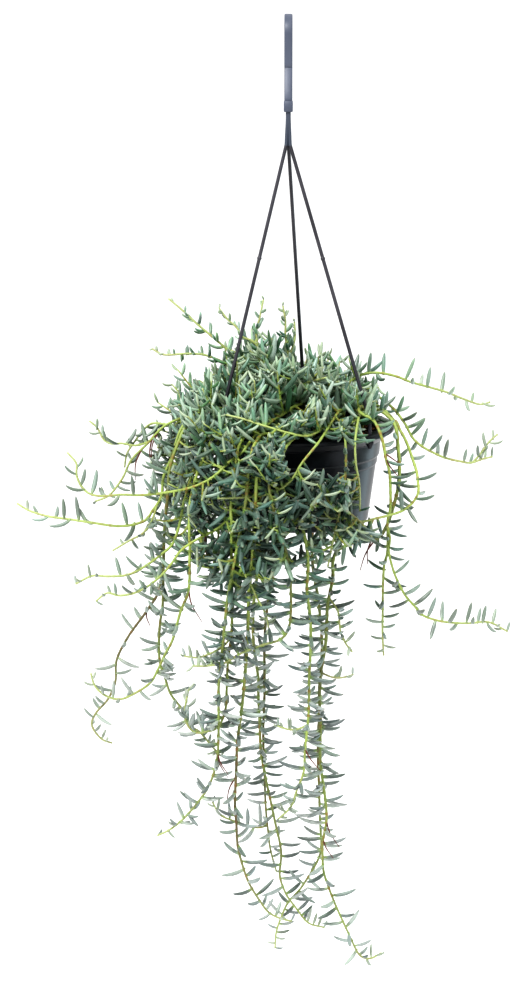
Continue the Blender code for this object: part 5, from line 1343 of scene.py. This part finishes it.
def hook_line():
    """The hook's middle line in the row's frame: free leg, arc, shank and the bend back under the hook."""
    radius = HOOK_INNER_RADIUS + 0.5 * STRIP_THICK
    leg = [(0.0, -radius, z) for z in np.arange(-FREE_LEG_END, -HOOK_INNER_RADIUS, HOOK_STEP)]
    arc = []
    for angle in np.linspace(math.pi, 0.0, ARC_POINTS):
        arc.append((0.0, radius * math.cos(angle), radius * math.sin(angle) - HOOK_INNER_RADIUS))
    shank_top = -HOOK_INNER_RADIUS - HOOK_STEP
    shank = [(0.0, radius, z) for z in np.arange(shank_top, -SHANK_BEND_TOP, -HOOK_STEP)]
    bend = []
    drop = COLLAR_TOP + COLLAR_OVERLAP - SHANK_BEND_TOP
    for share in np.linspace(0.0, 1.0, BEND_POINTS):
        bend.append((0.0, radius * 0.5 * (1.0 + math.cos(math.pi * share)), -SHANK_BEND_TOP - drop * share))
    return np.array(leg + arc + shank + bend)


def hanger_point(points):
    """Points of the row's frame, in millimetres, as points of the pot's frame."""
    return np.asarray(points, float) - (POT_SHIFT_X, 0.0, -HOOK_TO_RIM)


def rounded_box_outline(width, thick, corner, steps=3):
    """A rectangle with round corners, as (across, over) points."""
    outline = []
    for k, (sx, sy) in enumerate(((1, 1), (-1, 1), (-1, -1), (1, -1))):
        for j in range(steps + 1):
            angle = 0.5 * math.pi * (k + j / steps)
            outline.append((sx * (0.5 * width - corner) + corner * math.cos(angle),
                            sy * (0.5 * thick - corner) + corner * math.sin(angle)))
    return np.array(outline)


def add_sweep(shape, line, across, over, outlines, kind):
    """A bar with its own outline at each point of a line."""
    rings = [p + a * o[:, :1] + b * o[:, 1:] for p, a, b, o in zip(line, across, over, outlines)]
    points = np.concatenate(rings + [line[:1], line[-1:]])
    shape.add(to_row(points), tube_faces(len(line), len(outlines[0])), kind)


def build_hanger(plastic, neck_plastic, dark_plastic):
    """The hook with its collar and neck, and the three strands with their feet."""
    shape = Shape()
    line = hanger_point(hook_line())
    tangents = unit(np.gradient(line, axis=0))
    across = np.tile((1.0, 0.0, 0.0), (len(line), 1))
    over = np.cross(tangents, across)
    outline = rounded_box_outline(STRIP_WIDTH, STRIP_THICK, STRIP_CORNER)
    (free_tip, free_growth), (low_tip, low_growth) = STRIP_ENDS
    outlines = []
    for k in range(len(line)):
        thick = min(1.0, free_tip + free_growth * k, low_tip + low_growth * (len(line) - 1 - k))
        outlines.append(outline * (1.0, thick))
    add_sweep(shape, line, across, over, outlines, 0)
    add_collar(shape)
    shape.build("hanger_hook_fine", [plastic, neck_plastic], "hanger_hook")
    for side, azimuth in STRAND_AZIMUTHS.items():
        shape = Shape()
        top, knee, end = strand_line(azimuth)
        route = smooth_corner(top, knee, end, STRAND_CORNER)
        length = np.linalg.norm(np.diff(route, axis=0), axis=1).sum()
        place = np.linspace(0.0, length, len(route))
        nub = np.linalg.norm(knee - top) * NUB_SHARE
        radii = STRAND_RADIUS + NUB_HEIGHT * (np.abs(place - nub) < NUB_HALF) * (side != "back")
        add_tube(shape, route, radii, STRAND_SIDES, 0)
        foot = np.array([end + (0.0, 0.0, height) for height, _ in FOOT_LEVELS])
        add_tube(shape, foot, [radius for _, radius in FOOT_LEVELS], FOOT_SIDES, 0)
        shape.build(f"hanger_strand_{side}_fine", [dark_plastic], f"hanger_strand_{side}")


def smooth_corner(start, corner, end, size):
    """A line with its corner rounded off, in small even steps."""
    before = corner + unit(start - corner) * size
    after = corner + unit(end - corner) * size
    bend = [(1 - t) ** 2 * before + 2 * t * (1 - t) * corner + t ** 2 * after
            for t in np.linspace(0, 1, CORNER_POINTS)]
    return resample(np.array([start] + bend + [end]), STRAND_STEP)


def add_collar(shape):
    """The block under the hook with its little square moulding, and the neck that gathers the strands."""
    width, depth, height = COLLAR_SIZE
    middle = -(COLLAR_TOP + 0.5 * height)
    line = hanger_point([(0.0, 0.0, middle + share * height) for share, _ in COLLAR_LEVELS])
    across = np.tile((1.0, 0.0, 0.0), (len(line), 1))
    over = np.tile((0.0, 1.0, 0.0), (len(line), 1))
    outlines = [rounded_box_outline(width, depth, STRIP_CORNER) * scale for _, scale in COLLAR_LEVELS]
    add_sweep(shape, line, across, over, outlines, 0)
    neck_top = -COLLAR_TOP - height + NECK_OVERLAP
    run = [(neck_top + above, out) for above, out in NECK_RUN] + [(-NECK_END + NECK_LAST[0], NECK_LAST[1])]
    for azimuth in STRAND_AZIMUTHS.values():
        top, knee, _ = strand_line(azimuth)
        way = unit((top - hanger_point((0.0, 0.0, 0.0))) * (1.0, 1.0, 0.0))
        route = [hanger_point((0.0, 0.0, level)) + way * out for level, out in run]
        route = smooth_route(route + [top, top + unit(knee - top) * NECK_RUN_ON], 1.0)
        add_tube(shape, route, np.full(len(route), STRAND_RADIUS), NECK_SIDES, 1)


# Materials

# How fast each turns with a leaf's shade, its least value and the width of its range; hue 0.5 is no change
HUES = (7.3, 0.46, 0.09)
SATURATIONS = (31.7, 0.58, 0.55)
TONES = (0.1, 0.4, 0.7, 1.0)    # places in the ramps of the leaves' colours
# Leaves are painted lighter on the crown, as painted light on the top of the plant, and darker on the flank,
# as painted shade under the crown; the trailing stems' leaves are greyer, their own tone, and lighter,
# painted light
CROWN_LIT_COLOURS = [(0.030, 0.078, 0.040), (0.086, 0.188, 0.108), (0.190, 0.328, 0.208), (0.41, 0.53, 0.38)]
FLANK_SHADED_COLOURS = [(0.010, 0.034, 0.019), (0.030, 0.080, 0.051), (0.080, 0.158, 0.112), (0.20, 0.30, 0.23)]
TRAILING_GREY_LIT_COLOURS = [(0.052, 0.072, 0.064), (0.130, 0.168, 0.152), (0.240, 0.284, 0.258), (0.40, 0.45, 0.41)]
FLANK_HEIGHTS = (-0.28, -0.34)  # in metres: the crown's colours, painted light, turn into the flank's, painted shade, between these
TRAILING_HEIGHTS = (-0.40, -0.50)           # and those into the trailing stems' between these
OUTER_SIDES = (0.05, 0.13)      # leaves are paler this far out


class Look:
    """A material with a Principled BSDF, and short ways to add nodes to it."""

    def __init__(self, name, roughness):
        self.material = bpy.data.materials.new(name)
        self.material.use_nodes = True
        self.tree = self.material.node_tree
        self.shader = self.tree.nodes["Principled BSDF"]
        self.set(Roughness=roughness)

    def set(self, **values):
        """Values that are the same all over, on the shader's own sockets."""
        for name, value in values.items():
            self.shader.inputs[name.replace("_", " ")].default_value = value

    def node(self, kind, **inputs):
        """A new node with these values or links in its sockets."""
        node = self.tree.nodes.new(kind)
        for name, value in inputs.items():
            self.feed(value, node.inputs[name.replace("_", " ")])
        return node

    def feed(self, value, socket):
        if isinstance(value, bpy.types.NodeSocket):
            self.tree.links.new(value, socket)
        else:
            socket.default_value = value

    def value(self, name):
        """One of the values that Shape puts at each point."""
        node = self.tree.nodes.new("ShaderNodeAttribute")
        node.attribute_name = name
        return node.outputs["Fac"]

    def place(self, axis):
        """A coordinate in the row's frame, in metres."""
        place = self.tree.nodes.new("ShaderNodeTexCoord").outputs["Object"]
        return self.node("ShaderNodeSeparateXYZ", Vector=place).outputs[axis]

    def noise(self, scale, detail=3.0, stretch=(1.0, 1.0, 1.0)):
        """Noise that is fixed to the piece, finer with a larger scale."""
        place = self.tree.nodes.new("ShaderNodeTexCoord").outputs["Object"]
        mapping = self.node("ShaderNodeMapping", Vector=place, Scale=stretch)
        noise = self.node("ShaderNodeTexNoise", Vector=mapping.outputs[0], Scale=scale, Detail=detail)
        return noise.outputs["Fac"]

    def math(self, operation, a, b=0.0, clamp=True):
        node = self.tree.nodes.new("ShaderNodeMath")
        node.operation = operation
        node.use_clamp = clamp
        self.feed(a, node.inputs[0])
        self.feed(b, node.inputs[1])
        return node.outputs[0]

    def between(self, value, low, high):
        """0 at low and 1 at high, eased."""
        node = self.tree.nodes.new("ShaderNodeMapRange")
        node.interpolation_type = "SMOOTHSTEP"
        self.feed(value, node.inputs["Value"])
        node.inputs["From Min"].default_value = low
        node.inputs["From Max"].default_value = high
        return node.outputs["Result"]

    def ramp(self, value, stops):
        """Colours that change with a value, as (value, colour) stops."""
        node = self.tree.nodes.new("ShaderNodeValToRGB")
        self.feed(value, node.inputs["Fac"])
        elements = node.color_ramp.elements
        while len(elements) < len(stops):
            elements.new(0.5)
        for element, (position, colour) in zip(elements, stops):
            element.position = position
            element.color = (*colour, 1.0)
        return node.outputs["Color"]

    def sum(self, a, a_share, b, b_share):
        """Two values, each times its share, added without a limit."""
        return self.math("ADD", self.math("MULTIPLY", a, a_share), self.math("MULTIPLY", b, b_share), False)

    def tint(self, colour, share, strength, other):
        """A colour with another one over it, by a share of some strength."""
        return self.mix(self.math("MULTIPLY", share, strength), colour, other)

    def mix(self, share, a, b):
        """The colour a, turned into b by a share."""
        node = self.tree.nodes.new("ShaderNodeMix")
        node.data_type = "RGBA"
        self.feed(share, node.inputs["Factor"])
        self.feed(a if isinstance(a, bpy.types.NodeSocket) else (*a, 1.0), node.inputs[6])
        self.feed(b if isinstance(b, bpy.types.NodeSocket) else (*b, 1.0), node.inputs[7])
        return node.outputs[2]

    def chance(self, pitch, least, width):
        """A number for each leaf, drawn from its shade."""
        turns = self.math("MULTIPLY", self.value("shade"), pitch, False)
        return self.math("ADD", self.math("MULTIPLY", self.math("FRACT", turns), width), least, False)

    def vary(self, colour):
        """Another hue and saturation for each leaf."""
        hue = self.chance(*HUES)
        saturation = self.chance(*SATURATIONS)
        return self.node("ShaderNodeHueSaturation", Color=colour, Hue=hue, Saturation=saturation).outputs[0]

    def colour(self, value):
        self.feed(value if isinstance(value, bpy.types.NodeSocket) else (*value, 1.0),
                  self.shader.inputs["Base Color"])

    def bump(self, height, distance, strength=1.0):
        """Fine relief on the surface, as deep as the distance."""
        node = self.node("ShaderNodeBump", Height=height, Distance=distance, Strength=strength)
        self.tree.links.new(node.outputs["Normal"], self.shader.inputs["Normal"])


def leaf_material():
    look = Look("senecio_leaf", 0.40)
    tone = look.sum(look.value("shade"), 0.75, look.noise(220.0), 0.35)
    crown, flank, trailing = (look.ramp(tone, list(zip(TONES, colours)))
                              for colours in (CROWN_LIT_COLOURS, FLANK_SHADED_COLOURS, TRAILING_GREY_LIT_COLOURS))
    height = look.place("Z")
    # Painted light and shade by height: a lighter crown, a darker flank and lighter trailing leaves
    colour = look.mix(look.between(height, *FLANK_HEIGHTS), crown, flank)
    colour = look.mix(look.between(height, *TRAILING_HEIGHTS), colour, trailing)
    # Painted highlight: the upward-facing side of each leaf is made paler, as if lit from above
    colour = look.tint(colour, look.between(look.value("upper"), 0.1, 0.7), 0.26, (0.30, 0.39, 0.33))
    colour = look.vary(colour)
    colour = look.tint(colour, look.between(look.value("along"), 0.28, 0.0), 0.75, (0.24, 0.36, 0.05))
    out = look.math("ABSOLUTE", look.place("X"), clamp=False)
    colour = look.tint(colour, look.between(out, *OUTER_SIDES), 0.4, (0.30, 0.34, 0.28))
    colour = look.tint(colour, look.value("youth"), 0.65, (0.33, 0.38, 0.25))
    colour = look.tint(colour, look.between(look.value("along"), 0.93, 1.0), 0.6, (0.20, 0.13, 0.08))
    look.colour(colour)
    look.bump(look.noise(900.0, 2.0), 0.00012, 0.5)
    look.set(Coat_Weight=0.20, Coat_Roughness=0.22)
    look.set(Sheen_Weight=0.12, Sheen_Roughness=0.35, Sheen_Tint=(0.80, 0.95, 0.82, 1.0))
    return look.material


def stem_material():
    look = Look("senecio_stem", 0.5)
    tone = look.sum(look.value("shade"), 0.45, look.noise(12.0, 2.0), 0.75)
    colour = look.ramp(tone, [(0.2, (0.36, 0.46, 0.115)), (0.55, (0.21, 0.27, 0.075)),
                              (0.75, (0.13, 0.13, 0.05)), (0.92, (0.11, 0.045, 0.03))])
    scar = look.math("MULTIPLY", look.value("upper"), look.between(look.noise(60.0, 2.0), 0.5, 0.62))
    colour = look.tint(colour, scar, 0.75, (0.24, 0.09, 0.02))
    colour = look.tint(colour, look.value("youth"), 0.8, (0.36, 0.40, 0.19))
    colour = look.tint(colour, look.between(look.noise(700.0, 2.0), 0.55, 0.7), 0.35, (0.12, 0.10, 0.03))
    look.colour(colour)
    look.bump(look.noise(500.0, 2.0), 0.0002, 0.6)
    return look.material


def root_material():
    look = Look("aerial_root", 0.7)
    look.colour(look.mix(look.noise(200.0), (0.05, 0.012, 0.012), (0.16, 0.05, 0.03)))
    return look.material


def pot_material():
    look = Look("charcoal_pot", 0.30)
    dust = look.between(look.noise(45.0, 6.0), 0.45, 0.75)
    colour = look.mix(dust, (0.010, 0.012, 0.015), (0.028, 0.033, 0.040))
    look.colour(colour)
    look.set(Specular_IOR_Level=0.22)
    look.bump(look.noise(60.0, 3.0, (1.0, 1.0, 0.15)), 0.0004, 0.35)
    return look.material


def hanger_material(name, smooth_colour, worn_colour):
    look = Look(name, 0.46)
    wear = look.between(look.noise(90.0, 3.0, (1.0, 1.0, 0.3)), 0.3, 0.8)
    look.colour(look.mix(wear, smooth_colour, worn_colour))
    look.bump(look.noise(600.0, 3.0), 0.0001, 0.5)
    return look.material


def soil_materials():
    earth = Look("potting_soil", 0.95)
    earth.colour(earth.ramp(earth.noise(420.0, 6.0), [
        (0.3, (0.018, 0.010, 0.006)), (0.55, (0.055, 0.030, 0.016)), (0.8, (0.14, 0.07, 0.03))]))
    earth.bump(earth.noise(900.0, 6.0), 0.0012, 1.0)
    bark = Look("bark_chip", 0.85)
    bark.colour(bark.ramp(bark.noise(300.0, 5.0, (1.0, 1.0, 4.0)), [
        (0.3, (0.10, 0.035, 0.012)), (0.7, (0.36, 0.15, 0.05))]))
    bark.bump(bark.noise(700.0, 4.0, (1.0, 1.0, 5.0)), 0.0006, 0.8)
    grit = Look("white_grit", 0.9)
    grit.colour(grit.ramp(grit.noise(500.0, 4.0), [(0.3, (0.42, 0.38, 0.32)), (0.7, (0.72, 0.69, 0.63))]))
    grit.bump(grit.noise(1200.0, 4.0), 0.0004, 0.8)
    return [earth.material, bark.material, grit.material]


# Floor, light and camera, in metres

FLOOR_HALF = 40.0
FLOOR_HEIGHT = -1.05
WORLD_STRENGTH = 0.9
# Place, the point it shines at, size, power in watts and colour of each light
LIGHTS = {"key": ((-0.9, -1.6, 1.9), (0.0, 0.0, -0.35), 0.7, 70.0, (1.0, 1.0, 1.0)),
          "side": ((1.4, 0.75, -0.60), (0.0, 0.0, -0.33), 0.9, 5.0, (0.66, 0.90, 1.0))}
# The camera looks down and left by these angles
EYE_DOWN = math.radians(12.41568)
EYE_LEFT = math.radians(0.68267)
FOCAL_PIXELS = 3076.92          # focal length for a picture of this height
PICTURE_HEIGHT = 1000
SENSOR_HEIGHT = 36.0            # in millimetres
CLIP_END = 200.0


def build_stage():
    """A wide pale floor far below the pot, a white world and two lights."""
    look = Look("studio_floor", 0.9)
    look.colour((0.93, 0.93, 0.93))
    mesh = bpy.data.meshes.new("studio_floor")
    half = FLOOR_HALF
    corners = [(-half, -half), (half, -half), (half, half), (-half, half)]
    mesh.from_pydata([(x, y, FLOOR_HEIGHT) for x, y in corners], [], [(0, 1, 2, 3)])
    mesh.materials.append(look.material)
    add_object("studio_floor", mesh)
    world = bpy.data.worlds.new("studio")
    bpy.context.scene.world = world
    world.use_nodes = True
    background = world.node_tree.nodes["Background"].inputs
    background["Color"].default_value = (1.0, 1.0, 1.0, 1.0)
    background["Strength"].default_value = WORLD_STRENGTH
    for name, (place, target, size, power, colour) in LIGHTS.items():
        light = bpy.data.lights.new(name, "AREA")
        light.color = colour
        light.size = size
        light.energy = power
        lamp = add_object(name, light)
        lamp.location = place
        lamp.rotation_euler = (Vector(target) - Vector(place)).to_track_quat("-Z", "Y").to_euler()


def build_camera():
    """The photo's point of view."""
    camera = add_object("camera", bpy.data.cameras.new("camera"))
    camera.location = to_row(EYE)
    camera.rotation_euler = (0.5 * math.pi - EYE_DOWN, 0.0, EYE_LEFT)
    camera.data.sensor_fit = "VERTICAL"
    camera.data.sensor_height = SENSOR_HEIGHT
    camera.data.lens = SENSOR_HEIGHT * FOCAL_PIXELS / PICTURE_HEIGHT
    camera.data.clip_end = CLIP_END
    bpy.context.scene.camera = camera


def main():
    build_plants([stem_material(), leaf_material(), root_material()])
    build_pot(pot_material())
    build_soil(soil_materials())
    slate = hanger_material("slate_hanger", (0.057, 0.068, 0.098), (0.082, 0.094, 0.130))
    neck = hanger_material("neck_hanger", (0.040, 0.050, 0.072), (0.062, 0.074, 0.100))
    charcoal = hanger_material("charcoal_hanger", (0.018, 0.017, 0.023), (0.042, 0.040, 0.050))
    build_hanger(slate, neck, charcoal)
    build_stage()
    build_camera()
    bpy.context.scene.view_settings.view_transform = "Standard"
    bpy.context.scene.view_settings.look = "High Contrast"


main()
